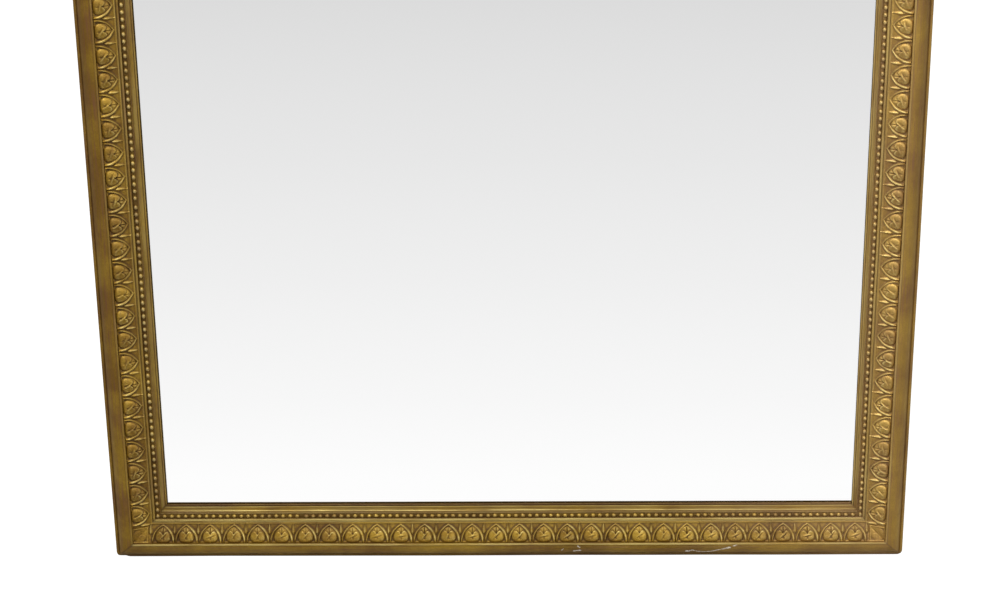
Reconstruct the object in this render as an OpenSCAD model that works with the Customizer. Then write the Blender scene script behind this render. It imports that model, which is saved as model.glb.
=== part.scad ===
// Gilt pier mirror: a pine frame with planted mouldings, pressed composition
// ornament, a mirror plate held by blocks, and a boarded back with two hangers.
//
// A "run" is one side of the frame, drawn lying along X. In a run, Z is u, the
// distance in from the frame's outer edge, and -Y is h, the height above the back.

/* [Frame] */
// Overall width of the frame
frame_w = 1067; // [600:1:1400]
// Overall height of the frame
frame_h = 1575; // [900:1:2200]
// Thickness of the pine carcass behind the mouldings
carcass_t = 30; // [27:0.5:36]
// Width of the carcass, from the outer edge to the glass rebate
carcass_w = 54; // [50:0.5:57]
// Width of the step that the backboards are nailed to
board_step = 14; // [11:0.5:17]

/* [Outer moulding] */
// Height of the outer edge above the back of the frame
edge_h = 40; // [38:0.5:46]
// Width of the flat along the outer edge
edge_w = 4; // [2.5:0.1:7]
// Depth of the quirk between the outer flat and the ovolo
quirk_d = 2.2; // [1:0.1:4]
// Width of that quirk
quirk_w = 0.8; // [0.4:0.1:2]
// Width of the broad ovolo
ovolo_w = 18.6; // [14:0.1:26]
// Width of the ridge between the ovolo and the leaves
ridge_w = 2.4; // [1.6:0.1:4]
// Height of the ridge above the outer edge
ridge_rise = 14.4; // [9:0.1:17]
// Step from the top of the ovolo up to the ridge
ridge_step = 0.9; // [0.4:0.1:2]

/* [Leaf and dart band] */
// Width of the band that holds the leaves
leaf_w = 26.7; // [24:0.1:30]
// Drop from the ridge to the outer side of the band
leaf_sink = 5.3; // [4.8:0.1:7]
// Fall of the band towards the glass
leaf_fall = 8.8; // [5:0.1:10]
// Thickness of the pressed strip behind the leaves
leaf_ground = 1.2; // [0.8:0.1:2]
// Distance from one dart to the next along the band
leaf_pitch = 32.4; // [28:0.1:40]
// Height of a leaf above its ground
leaf_relief = 4; // [2:0.1:4.6]
// Width of a leaf at its widest
leaf_boss_w = 20; // [14:0.1:20.5]
// Width of the arched rib round a leaf
rib_w = 2.4; // [1.6:0.1:2.6]
// Height of that rib above the ground
rib_h = 1.8; // [1:0.1:2.6]
// Gap between the feet of two arches
foot_gap = 1.2; // [0.6:0.1:2]
// Width of a dart at its widest
dart_w = 6.2; // [4:0.1:7]
// Distance from the frame's edge to the first dart
first_dart = 50; // [48:0.5:56]

/* [Beads and sight edge] */
// Width of the lip between the leaves and the beads
lip_w = 3.5; // [2:0.1:4]
// Drop from the band to the lip
lip_drop = 1.2; // [0.4:0.1:2]
// Width of the channel that holds the beads
channel_w = 6; // [5.8:0.1:9]
// Depth of that channel below the lip
channel_d = 5.6; // [4:0.1:6.5]
// Diameter of a bead
bead_d = 5.6; // [4:0.1:6]
// Distance from one bead to the next
bead_pitch = 9.46; // [7:0.01:12]
// Thickness of the pressed strip behind the beads
bead_ground = 0.9; // [0.6:0.1:1.5]
// Width of the rim inside the bead channel
rim_w = 0.9; // [0.8:0.1:2]
// Height of the rim above the channel's floor
rim_rise = 1.8; // [0.8:0.1:3]
// Width of the sight slip that shows inside the rim
sight_w = 5.7; // [5.4:0.1:9]
// Thickness of the slip, from the glass to its flat
slip_t = 3.4; // [3:0.1:5]
// Width of that flat, next to the rim
slip_flat_w = 1.6; // [1:0.1:2]
// Width of the groove beside the flat
groove_w = 1; // [0.6:0.1:1.4]
// Depth of the groove
groove_d = 1; // [0.4:0.1:1.6]
// Height of the sight edge above the glass
sight_h = 2.2; // [1.5:0.1:2.6]

/* [Glass and back] */
// Thickness of the mirror plate
glass_t = 4; // [3:0.5:6]
// Height of the glass face above the back of the frame
glass_h = 22.5; // [20:0.5:24]
// Gap between the plate's edge and the rebate
glass_gap = 1.5; // [0.5:0.1:3]
// Thickness of the backboards
board_t = 8; // [6:0.5:10]
// Gap between a backboard and the next, and the frame
board_gap = 1; // [0.5:0.1:3]
// Number of backboards
board_n = 7; // [4:1:9]
// Length of a glazing block
block_l = 45; // [25:1:80]
// Width of a glazing block over the glass
block_w = 11; // [8:0.5:16]
// Distance from one glazing block to the next, at most
block_pitch = 300; // [180:10:500]
// Diameter of a nail's shank
nail_d = 2; // [1.4:0.1:3]
// Length of a nail
nail_l = 24; // [16:1:28]
// Length of a mitre key along each side of a corner
key_l = 46; // [30:1:60]
// Thickness of a mitre key
key_t = 3; // [1.5:0.1:5]

/* [Hangers] */
// Distance of the hangers' pins below the top of the frame
hanger_drop = 360; // [200:5:700]
// Width of a hanger's strap
strap_w = 19; // [14:0.5:26]
// Length of a hanger's strap below its pin
strap_l = 74; // [60:1:110]
// Thickness of a hanger's strap
strap_t = 1.6; // [1.2:0.1:2.5]
// Diameter of the ring's wire
wire_d = 4; // [3:0.1:5]
// Length of the ring's straight sides
ring_leg = 10; // [7:0.5:16]
// Gap between the ring and the strap's edges
ring_gap = 1; // [0.6:0.1:2]
// Diameter of a hanger screw's shank
screw_d = 4; // [3:0.1:4.5]
// Length of a hanger screw
screw_l = 22; // [15:1:28]

/* [Hidden] */
$fn = 48;
SIDES = ["bottom", "left", "top", "right"];
CORNERS = ["bottom_left", "top_left", "top_right", "bottom_right"];
HANDS = ["left", "right"];
BOARDS = [for (i = [1:board_n]) i];
NODES = concat(
    [for (s = ["bottom", "top"]) str("rail_", s)],
    [for (s = HANDS) str("stile_", s)],
    [for (s = SIDES) str("outer_moulding_", s)],
    [for (s = SIDES) str("bed_moulding_", s)],
    [for (s = SIDES) str("leaf_strip_", s)],
    [for (s = SIDES) str("bead_strip_", s)],
    [for (s = SIDES) str("sight_slip_", s)],
    [for (c = CORNERS) str("corner_leaf_", c)],
    [for (c = CORNERS) str("mitre_key_", c)],
    ["mirror_glass", "glass_rests"],
    [for (s = SIDES) str("glazing_blocks_", s)],
    [for (i = BOARDS) str("backboard_", i)],
    ["backboard_nails"],
    [for (s = HANDS) str("hanger_strap_", s)],
    [for (s = HANDS) str("hanger_screws_", s)],
    [for (s = HANDS) str("hanger_ring_", s)]
);
node = "all";

GILT = "#8a6c2e";
GILT_LEAF = "#a98a4a";
PINE = "#b98d5a";
OLD_PINE = "#8f7048";
IRON = "#4a4440";
BRASS = "#a58443";

// How far below a surface that it cuts, or outside one that it trims, a tool runs
over = 1;
arc_steps = 10;

// Section stations, measured in from the outer edge
u_ovolo = edge_w + quirk_w;
u_ridge = u_ovolo + ovolo_w;
u_leaf = u_ridge + ridge_w;
u_lip = u_leaf + leaf_w;
u_bead = u_lip + lip_w;
u_rim = u_bead + channel_w;
u_wall = u_rim + rim_w;
u_sight = u_wall + sight_w;
u_board = carcass_w - board_step;

// Section heights, measured up from the back
h_quirk = edge_h - quirk_d;
h_ridge = edge_h + ridge_rise;
h_leaf = h_ridge - leaf_sink;
h_leaf_in = h_leaf - leaf_fall;
h_lip = h_leaf_in - lip_drop;
h_channel = h_lip - channel_d;
h_rim = h_channel + rim_rise;
h_slip = glass_h + slip_t;
h_plate_back = glass_h - glass_t;

// The band's slope, and the pressed strip's clearance at its two edges
band_slope = atan2(leaf_fall, leaf_w);
strip_gap = 0.4;
strip_fillet_w = 2.2;
strip_fillet_h = 0.8;
corner_reach = first_dart - dart_w / 2 - strip_gap;

// The band between the strip's outer edge and its fillet, measured down the
// slope, and the leaves' clearance at both
band_y0 = strip_gap / cos(band_slope);
band_y1 = (leaf_w - strip_gap - strip_fillet_w) / cos(band_slope);
leaf_margin = 0.6;
motif_l = band_y1 - band_y0 - 2 * leaf_margin;
leaf_waist_share = 0.4;
leaf_waist = leaf_waist_share * leaf_boss_w;
leaf_l = motif_l - rib_w - leaf_margin;
leaf_foot = 0.3;
rib_top = 0.5;
dart_neck = 0.4;
dart_widest = 0.72;

// A corner leaf's width, the start of its foot along the mitre, and its tip as
// a share of the mitre on the band
corner_leaf_w = 0.8 * leaf_boss_w;
corner_foot = 0.42 * corner_leaf_w + leaf_margin;
corner_tip = 0.92;

// Hanger: the pin's height behind the frame leaves the ring clear of the strap
pin_clear = 0.08;
strap_clear = 0.35;
eye_r = wire_d / 2 + pin_clear + strap_t;
pin_h = -(strap_t + strap_clear + wire_d / 2);
ring_r = strap_w / 2 + ring_gap + wire_d / 2;
hanger_u = u_board / 2;
pin_z = frame_h - hanger_drop;
head_d = 2.05 * screw_d;
head_t = 0.55 * screw_d;
slot_w = 0.9;
slot_d = 0.9;
wood_fit = 0.05;
bead_lift = 0.08;
nail_head_d = 2.4 * nail_d;
nail_head_t = 0.9;

// The frame's depth is centred on Y = 0, between the ridge and the hanger's eye
mid_h = (h_ridge + pin_h - eye_r) / 2;

function is_rail(side) = side == "bottom" || side == "top";
function run_length(side) = is_rail(side) ? frame_w : frame_h;
function reach(side) = (is_rail(side) ? frame_h : frame_w) / 2;
function turn(list, name) = 90 * search([name], list)[0];
function seat_h(u) = h_leaf - leaf_ground - (u - u_leaf) * leaf_fall / leaf_w;
function shown(name) = node == "all" || node == name;

// ---- Placing ---------------------------------------------------------------

// Puts a run in its place as one side of the frame
module on_side(side)
    translate([0, mid_h, frame_h / 2])
        rotate([0, turn(SIDES, side), 0])
            translate([0, 0, -reach(side)])
                children();

// Puts a corner piece, drawn with its outer corner at the origin, in its corner
module at_corner(corner) {
    i = search([corner], CORNERS)[0];
    translate([(i < 2 ? -1 : 1) * frame_w / 2, mid_h, i == 1 || i == 2 ? frame_h : 0])
        rotate([0, turn(CORNERS, corner), 0])
            children();
}

// Stands a section of [u, h] points up as a bar along X, from x0 to x1
module bar(section, x0, x1)
    translate([x0, 0, 0])
        rotate([180, -90, 0])
            linear_extrude(x1 - x0)
                polygon(section);

// Extrudes an outline of [x, z] points from height h0 to h1
module slab(outline, h0, h1)
    translate([0, -h0, 0])
        rotate([90, 0, 0])
            linear_extrude(h1 - h0)
                polygon(outline);

// A bar as long as a side, mitred at both ends, and cut square where trim says
module mitred(section, length, trim = -over)
    intersection() {
        bar(section, trim - length / 2, length / 2 - trim);
        half = length / 2;
        slab([[-half - over, -over], [half + over, -over],
              [half - u_sight - over, u_sight + over], [-half + u_sight + over, u_sight + over]],
             -over, h_ridge + over);
    }

// The band's own frame: x along it, y down its slope, z out of it
module on_band()
    translate([0, -h_leaf, u_leaf])
        rotate([90 - band_slope, 0, 0])
            children();

// ---- Carcass ---------------------------------------------------------------

module carcass(side)
    color(PINE)
        difference() {
            on_side(side)
                mitred([[0, 0], [0, carcass_t], [carcass_w, carcass_t], [carcass_w, board_t],
                        [u_board, board_t], [u_board, 0]], run_length(side));
            for (c = CORNERS)
                at_corner(c) key_shape(over);
            for (p = nail_places())
                translate(p) nail_shape(wood_fit);
            for (s = HANDS)
                on_hanger(s) screw_set(wood_fit);
        }

// A feather let into a saw cut across the mitre. grow makes the cut that holds it.
module key_shape(grow = 0)
    slab([[-grow, -grow], [key_l + grow, -grow], [-grow, key_l + grow]],
         (carcass_t - key_t) / 2, (carcass_t + key_t) / 2);

module mitre_key(corner)
    color(OLD_PINE)
        at_corner(corner)
            key_shape();

// ---- Planted mouldings -----------------------------------------------------

function ovolo_point(i) =
    let (a = 90 * i / arc_steps)
    [u_ovolo + ovolo_w * (1 - cos(a)), h_quirk + (h_ridge - ridge_step - h_quirk) * sin(a)];

module outer_moulding(side)
    color(GILT)
        on_side(side)
            mitred(concat(
                [[0, carcass_t], [0, edge_h], [edge_w, edge_h], [edge_w, h_quirk]],
                [for (i = [0:arc_steps]) ovolo_point(i)],
                [[u_ridge, h_ridge], [u_leaf, h_ridge], [u_leaf, carcass_t]]),
                run_length(side));

module bed_moulding(side)
    color(GILT)
        on_side(side)
            mitred([[u_leaf, carcass_t], [u_leaf, seat_h(u_leaf)], [u_lip, seat_h(u_lip)],
                    [u_lip, h_lip], [u_bead, h_lip], [u_bead, h_channel], [u_rim, h_channel],
                    [u_rim, h_rim], [u_wall, h_rim], [u_wall, h_slip], [carcass_w, h_slip],
                    [carcass_w, carcass_t]], run_length(side));

// The slip steps down from a flat to a groove, and ends in a round at the sight edge
module sight_slip(side) {
    u_groove = u_wall + slip_flat_w;
    u_round = u_groove + groove_w;
    round_w = u_sight - u_round;
    color(GILT)
        on_side(side)
            mitred(concat(
                [[carcass_w, glass_h], [carcass_w, h_slip], [u_groove, h_slip], [u_groove, h_slip - groove_d],
                 [u_round, h_slip - groove_d]],
                [for (i = [0:arc_steps])
                    let (a = 180 * i / arc_steps)
                    [u_round + round_w * (1 - cos(a)) / 2,
                     glass_h + sight_h + (h_slip - glass_h - sight_h) * sin(a)]],
                [[u_sight, glass_h]]),
                run_length(side));
}

// ---- Leaf and dart ---------------------------------------------------------

// The strip's section: a thin ground with a raised fillet on its glass side
function ground_section() =
    let (u0 = u_leaf + strip_gap, u1 = u_lip - strip_gap, u2 = u1 - strip_fillet_w)
    [[u0, seat_h(u0)], [u0, seat_h(u0) + leaf_ground], [u2, seat_h(u2) + leaf_ground],
     [u2, seat_h(u2) + leaf_ground + strip_fillet_h],
     [u1, seat_h(u1) + leaf_ground + strip_fillet_h], [u1, seat_h(u1)]];

// Radius of an arc that rises upright at x = half_w and meets x = 0 at a height
function flank_r(half_w, height) = (half_w * half_w + height * height) / (2 * half_w);

// A leaf lies along y on z = 0, where two large balls cross in a crest. It is
// widest at its waist, cut off square at its foot, and pointed at its tip.
module leaf(w, waist, length, relief) {
    plan_r = flank_r(w / 2, length - waist);
    side = plan_r - w / 2;
    depth = (plan_r * plan_r - side * side - relief * relief) / (2 * relief);
    intersection() {
        translate([side, waist, -depth])
            sphere(norm([plan_r, depth]), $fn = 96);
        mirror([1, 0, 0])
            translate([side, waist, -depth])
                sphere(norm([plan_r, depth]), $fn = 96);
        translate([-w, 0, -leaf_foot])
            cube([2 * w, 2 * length, relief + over]);
    }
}

// Two arcs that cross over the leaf's tip
module pointed_arch(half_w, height) {
    radius = flank_r(half_w, height);
    intersection() {
        translate([half_w - radius, 0])
            circle(radius, $fn = 96);
        translate([radius - half_w, 0])
            circle(radius, $fn = 96);
        translate([-half_w, 0])
            square([2 * half_w, height]);
    }
}

// The rib round a leaf, of width w, about its centre line
module rib(half_w, height, w)
    difference() {
        pointed_arch(half_w + w / 2, height + w / 2);
        translate([0, -over])
            pointed_arch(half_w - w / 2, height - w / 2 + over);
    }

// A spear with a thin stem, of width w, its foot between two arches
module dart(length, w) {
    stem = min(foot_gap / 3, w / 4);
    neck = length * dart_neck;
    widest = length * dart_widest;
    polygon([[-stem, 0], [-stem, neck], [-w / 2, widest], [0, length],
             [w / 2, widest], [stem, neck], [stem, 0]]);
}

// Ribs and darts rise in two steps, the upper one narrower
module leaf_strip(side) {
    length = run_length(side) - 2 * first_dart;
    count = round(length / leaf_pitch);
    pitch = length / count;
    half_w = (pitch - foot_gap - rib_w) / 2;
    steps = [[1, 0.55], [rib_top, 1]];
    color(GILT_LEAF)
        on_side(side) {
            mitred(ground_section(), run_length(side), corner_reach);
            on_band()
                translate([-length / 2, band_y0 + leaf_margin, 0]) {
                    for (step = steps)
                        translate([0, 0, -leaf_foot])
                            linear_extrude(leaf_foot + rib_h * step[1]) {
                                for (i = [0:count - 1])
                                    translate([(i + 0.5) * pitch, 0])
                                        rib(half_w, motif_l - rib_w / 2, rib_w * step[0]);
                                for (i = [0:count])
                                    translate([i * pitch, 0])
                                        dart(motif_l, dart_w * step[0]);
                            }
                    for (i = [0:count - 1])
                        translate([(i + 0.5) * pitch, 0, 0])
                            leaf(leaf_boss_w, leaf_waist, leaf_l, leaf_relief);
                }
        }
}

// A leaf points inwards along the mitre and folds there, on a ground that turns
// the corner. Half of it lies on each side's band.
module corner_leaf(corner) {
    length = corner_tip * sqrt(2) * (corner_reach - u_leaf) - corner_foot;
    color(GILT_LEAF)
        at_corner(corner) {
            arm();
            mirror([1, 0, -1]) arm();
        }
    module arm()
        intersection() {
            union() {
                bar(ground_section(), 0, corner_reach);
                translate([u_leaf, 0, 0])
                    on_band()
                        rotate([0, 0, -atan(cos(band_slope))])
                            translate([0, corner_foot, 0])
                                leaf(corner_leaf_w, leaf_waist_share * corner_leaf_w, length,
                                     leaf_relief);
            }
            slab([[0, 0], [u_sight, u_sight], [u_sight, 0]], 0, h_ridge);
        }
}

// ---- Beads -----------------------------------------------------------------

// The upright strips run through the corners, and the level ones butt between them
module bead_strip(side) {
    u_mid = u_bead + channel_w / 2;
    run = run_length(side) - 2 * u_mid;
    count = round(run / bead_pitch);
    pitch = run / count;
    ground_w = channel_w - strip_gap;
    half = run / 2 + (is_rail(side) ? -ground_w / 2 : ground_w / 2);
    first = is_rail(side) ? 1 : 0;
    color(GILT_LEAF)
        on_side(side) {
            bar([[u_mid - ground_w / 2, h_channel], [u_mid - ground_w / 2, h_channel + bead_ground],
                 [u_mid + ground_w / 2, h_channel + bead_ground], [u_mid + ground_w / 2, h_channel]],
                -half, half);
            for (i = [first:count - first])
                translate([i * pitch - run / 2, -h_channel - bead_ground, u_mid])
                    bead();
        }
}

// A pearl that is a little more than half a ball
module bead()
    rotate([90, 0, 0])
        intersection() {
            translate([0, 0, bead_d * bead_lift])
                sphere(d = bead_d, $fn = 32);
            translate([0, 0, bead_d / 2 - bead_ground / 2])
                cube([bead_d + over, bead_d + over, bead_d], center = true);
        }

// ---- Glass and its fixing --------------------------------------------------

module mirror_glass() {
    w = frame_w - 2 * (carcass_w + glass_gap);
    h = frame_h - 2 * (carcass_w + glass_gap);
    color("#cfd4d6")
        translate([-w / 2, mid_h - glass_h, carcass_w + glass_gap])
            cube([w, glass_t, h]);
}

// Two thin rests carry the plate on the bottom rail
module glass_rests()
    color(OLD_PINE)
        for (x = [-1, 1] * frame_w / 4)
            translate([x - block_l / 2, mid_h - glass_h, carcass_w])
                cube([block_l, glass_t, glass_gap]);

// Blocks rubbed into the rebate behind the plate, chamfered towards the middle
module glazing_blocks(side) {
    span = run_length(side) - 2 * carcass_w - 2 * block_l;
    count = ceil(span / block_pitch) + 1;
    step = span / (count - 1);
    cut = (h_plate_back - board_t) * 0.6;
    color(OLD_PINE)
        on_side(side)
            for (i = [0:count - 1])
                translate([i * step - span / 2, 0, 0])
                    bar([[carcass_w, board_t], [carcass_w, h_plate_back],
                         [carcass_w + block_w, h_plate_back], [carcass_w + block_w, h_plate_back - cut / 3],
                         [carcass_w + block_w - cut, board_t]], -block_l / 2, block_l / 2);
}

// ---- Back ------------------------------------------------------------------

board_len = frame_w - 2 * (u_board + board_gap);
board_pitch = (frame_h - 2 * u_board - board_gap) / board_n;
board_w = board_pitch - board_gap;

function board_z(i) = u_board + board_gap + (i - 1) * board_pitch;
function nail_places() = [
    for (i = BOARDS, side = [-1, 1], share = [0.2, 0.8])
        [side * (frame_w / 2 - (u_board + carcass_w) / 2), mid_h, board_z(i) + share * board_w]
];

module backboard(i)
    color(OLD_PINE)
        difference() {
            translate([-board_len / 2, mid_h - board_t, board_z(i)])
                cube([board_len, board_t, board_w]);
            for (p = nail_places())
                if (abs(p[2] - board_z(i) - board_w / 2) < board_w / 2)
                    translate(p) nail_shape(wood_fit);
        }

// A nail driven flush from the back. fit opens it into the hole that it makes.
module nail_shape(fit = 0)
    rotate([90, 0, 0]) {
        translate([0, 0, fit ? -over : 0])
            cylinder(d = nail_head_d + 2 * fit, h = nail_head_t + (fit ? over : 0), $fn = 24);
        cylinder(d = nail_d + 2 * fit, h = nail_l + fit, $fn = 24);
    }

module backboard_nails()
    color(IRON)
        for (p = nail_places())
            translate(p) nail_shape();

// ---- Hangers ---------------------------------------------------------------

function hand(side) = side == "left" ? -1 : 1;

// A hanger's own frame: the origin is on the frame's back, level with the pin
module on_hanger(side)
    translate([hand(side) * (frame_w / 2 - hanger_u), mid_h, pin_z])
        children();

function screw_places() = [for (share = [0.24, 0.6, 0.86]) -share * strap_l];

// Countersunk screws, heads flush with the strap. fit opens them into their holes.
module screw_set(fit = 0)
    for (z = screw_places())
        translate([0, strap_t, z])
            rotate([90, 0, 0]) {
                cylinder(d1 = head_d + 2 * fit, d2 = screw_d + 2 * fit, h = head_t);
                cylinder(d = screw_d + 2 * fit, h = screw_l + fit);
            }

module hanger_strap(side)
    color(BRASS)
        on_hanger(side)
            difference() {
                union() {
                    translate([-strap_w / 2, 0, -strap_l])
                        cube([strap_w, strap_t, strap_l]);
                    translate([-strap_w / 2, -pin_h, 0])
                        rotate([0, 90, 0])
                            cylinder(r = eye_r, h = strap_w);
                }
                translate([-strap_w / 2 - over, -pin_h, 0])
                    rotate([0, 90, 0])
                        cylinder(r = wire_d / 2 + pin_clear, h = strap_w + 2 * over);
                translate([-strap_w, -2 * eye_r, -eye_r - over])
                    cube([2 * strap_w, 2 * eye_r, 2 * eye_r + 2 * over]);
                screw_set(wood_fit);
            }

module hanger_screws(side)
    color(BRASS)
        on_hanger(side)
            difference() {
                screw_set();
                for (z = screw_places())
                    translate([-head_d, strap_t - slot_d, z - slot_w / 2])
                        cube([2 * head_d, slot_d + over, slot_w]);
            }

// The ring hangs from the strap's eye: a straight pin, two legs and a bow
module hanger_ring(side)
    color(IRON)
        on_hanger(side)
            translate([0, -pin_h, 0]) {
                rotate([0, 90, 0])
                    cylinder(d = wire_d, h = 2 * ring_r, center = true);
                for (s = [-1, 1])
                    translate([s * ring_r, 0, 0]) {
                        sphere(d = wire_d);
                        translate([0, 0, -ring_leg])
                            cylinder(d = wire_d, h = ring_leg);
                    }
                translate([0, 0, -ring_leg])
                    rotate([-90, 0, 0])
                        rotate_extrude(angle = 180)
                            translate([ring_r, 0])
                                circle(d = wire_d);
            }

// ---- Nodes -----------------------------------------------------------------

for (s = ["bottom", "top"])
    if (shown(str("rail_", s))) carcass(s);
for (s = HANDS) {
    if (shown(str("stile_", s))) carcass(s);
    if (shown(str("hanger_strap_", s))) hanger_strap(s);
    if (shown(str("hanger_screws_", s))) hanger_screws(s);
    if (shown(str("hanger_ring_", s))) hanger_ring(s);
}
for (s = SIDES) {
    if (shown(str("outer_moulding_", s))) outer_moulding(s);
    if (shown(str("bed_moulding_", s))) bed_moulding(s);
    if (shown(str("leaf_strip_", s))) leaf_strip(s);
    if (shown(str("bead_strip_", s))) bead_strip(s);
    if (shown(str("sight_slip_", s))) sight_slip(s);
    if (shown(str("glazing_blocks_", s))) glazing_blocks(s);
}
for (c = CORNERS) {
    if (shown(str("corner_leaf_", c))) corner_leaf(c);
    if (shown(str("mitre_key_", c))) mitre_key(c);
}
for (i = BOARDS)
    if (shown(str("backboard_", i))) backboard(i);
if (shown("mirror_glass")) mirror_glass();
if (shown("glass_rests")) glass_rests();
if (shown("backboard_nails")) backboard_nails();
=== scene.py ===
"""Gilt pier mirror: the looks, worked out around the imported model.

A "run" is one side of the frame. Its own coordinates are x along it, from its
middle, u in from the outer edge, and h up from the back, all in millimetres.
"""

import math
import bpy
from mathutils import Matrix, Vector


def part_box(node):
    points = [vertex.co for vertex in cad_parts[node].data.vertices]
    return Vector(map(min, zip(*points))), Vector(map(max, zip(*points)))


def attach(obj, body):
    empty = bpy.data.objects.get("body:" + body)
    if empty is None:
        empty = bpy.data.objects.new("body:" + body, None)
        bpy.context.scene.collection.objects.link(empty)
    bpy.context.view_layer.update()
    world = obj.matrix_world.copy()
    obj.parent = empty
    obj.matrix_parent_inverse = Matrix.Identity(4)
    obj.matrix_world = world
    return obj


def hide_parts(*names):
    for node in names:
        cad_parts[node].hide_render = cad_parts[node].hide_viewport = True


bl_info = {
    "name": "Gilt Pier Mirror",
    "version": (1, 0, 0),
    "blender": (4, 5, 0),
    "location": "View3D > Sidebar > Pier Mirror",
    "description": "Dresses the packed pier mirror: mouldings, ornament, plate, back and stage",
    "category": "Add Mesh",
}

import bpy
import numpy as np
from bpy.props import FloatProperty, FloatVectorProperty, PointerProperty
from mathutils import Euler, Matrix

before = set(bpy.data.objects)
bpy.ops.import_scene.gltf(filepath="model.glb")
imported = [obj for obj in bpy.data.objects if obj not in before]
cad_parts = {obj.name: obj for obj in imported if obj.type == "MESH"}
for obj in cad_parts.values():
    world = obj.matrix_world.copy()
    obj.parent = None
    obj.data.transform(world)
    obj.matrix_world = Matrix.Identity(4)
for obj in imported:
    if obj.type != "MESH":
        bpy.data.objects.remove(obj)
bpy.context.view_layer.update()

MM = 0.001
SIDES = ("bottom", "left", "top", "right")
CORNERS = ("bottom_left", "top_left", "top_right", "bottom_right")
HANDS = ("left", "right")
SEEDS = {side: 11 + 7 * i for i, side in enumerate(SIDES)}


def linear(hex_colour):
    """Linear RGBA of an sRGB hex colour."""
    srgb = [int(hex_colour[i : i + 2], 16) / 255 for i in (1, 3, 5)]
    rgb = [c / 12.92 if c <= 0.04045 else ((c + 0.055) / 1.055) ** 2.4 for c in srgb]
    return (*rgb, 1.0)


# ---- The frame's sizes, in mm -------------------------------------------------


def box_mm(node):
    """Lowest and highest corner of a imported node, in mm."""
    return tuple(np.array(corner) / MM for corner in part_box(node))


WIDTH = 2 * box_mm("outer_moulding_right")[1][0]
HEIGHT = box_mm("outer_moulding_right")[1][2]
BACK_Y = box_mm("rail_bottom")[1][1]

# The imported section: u in from the outer edge, h up from the back
H_BASE = 30.0
EDGE_W, EDGE_H = 4.0, 40.0
U_OVOLO, H_QUIRK = 4.8, 37.8
U_RIDGE, H_RIDGE, RIDGE_STEP = 23.4, 54.4, 0.9
U_LEAF, H_LEAF, LEAF_FALL = 25.8, 49.1, 8.8
U_LIP, H_LIP = 52.5, 39.1
U_BEAD, H_CHANNEL = 56.0, 33.5
U_RIM, H_RIM = 62.0, 35.3
U_WALL, H_SLIP = 62.9, 25.9
U_SIGHT, GLASS_H, SIGHT_H = 68.6, 22.5, 2.2
SLIP_ROUND, SLIP_GROOVE, SLIP_FALL, GROOVE_FALL = 1.7, 0.8, 0.7, 1.5
CARCASS_W = 54.0
SLOPE = math.atan2(LEAF_FALL, U_LIP - U_LEAF)
# The thin fillet on the wall inside the beads: its corners' heights, and how far it
# stands out
WALL_FILLET, FILLET_OUT = (28.7, 27.9, 27.0, 26.4), 0.8

# How far apart the points of a side lie along it: on the outer mouldings, on the
# other plain ones and on the leaf strips
OUTER_STEP, SWEEP_STEP, LEAF_STEP = 3.0, 4.0, 0.64

# The pressed strips
STRIP_GAP, GROUND = 0.4, 1.2
FILLET_W, FILLET_H = 2.2, 0.8
FIRST_DART, CORNER_REACH = 50.0, 46.5
LEAF_PITCH, FOOT_GAP, LEAF_MARGIN = 32.4, 1.2, 0.6
BAND_Y0 = STRIP_GAP / math.cos(SLOPE)
BAND_Y1 = (U_LIP - U_LEAF - STRIP_GAP - FILLET_W) / math.cos(SLOPE)
BAND_END = (U_LIP - U_LEAF - STRIP_GAP) / math.cos(SLOPE)
MOTIF_Y = BAND_Y0 + LEAF_MARGIN
MOTIF_L = BAND_Y1 - BAND_Y0 - 2 * LEAF_MARGIN
# A leaf: half its width, its length, where it is widest, where it folds, and how far it
# starts under the ridge
LEAF_HALF, LEAF_LONG, LEAF_WAIST, LEAF_FOLD, LEAF_UNDER = 10.7, 22.1, 8.8, 9.8, 1.8
# How far a leaf strays from its even place, and how far its ground is sunk
LEAF_STRAY, GROUND_SUNK = 0.35, 0.7
# Its arched rib: how far its middle lies in from the arch's foot and from its tip
RIB_IN, RIB_SHORT = 1.3, 0.9
# A dart: where its spear starts, its length, and half its width
DART_FROM, DART_LONG, DART_HALF = 9.0, 15.0, 3.3
# A corner leaf in the same way, how far in from its corner it starts, and how high it
# stands as a share of the others
CORNER_HALF, CORNER_LONG, CORNER_WAIST, CORNER_FOLD = 8.8, 23.0, 9.0, 11.0
CORNER_START, CORNER_LOW = 2.6, 0.35
# The beads
BEAD_D, BEAD_PITCH, BEAD_GROUND, BEAD_LIFT = 5.6, 9.46, 0.9, 0.08
U_BEAD_MID = (U_BEAD + U_RIM) / 2


def run_length(side):
    """A side's whole length."""
    return WIDTH if side in ("bottom", "top") else HEIGHT


def place(side, x, u, h):
    """A run's x, u and h as points in metres: the run turned to its side of the frame."""
    across, up = {
        "bottom": (x, u),
        "left": (u - WIDTH / 2, HEIGHT / 2 - x),
        "top": (-x, HEIGHT - u),
        "right": (WIDTH / 2 - u, HEIGHT / 2 + x),
    }[side]
    return np.stack(np.broadcast_arrays(across, BACK_Y - h, up), -1) * MM


def place_corner(corner, p, q, h):
    """A corner's p and q, measured from its two outer edges, and h as points in metres."""
    across, up = {
        "bottom_left": (p - WIDTH / 2, q),
        "top_left": (q - WIDTH / 2, HEIGHT - p),
        "top_right": (WIDTH / 2 - p, HEIGHT - q),
        "bottom_right": (WIDTH / 2 - q, p),
    }[corner]
    return np.stack(np.broadcast_arrays(across, BACK_Y - h, up), -1) * MM
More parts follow.
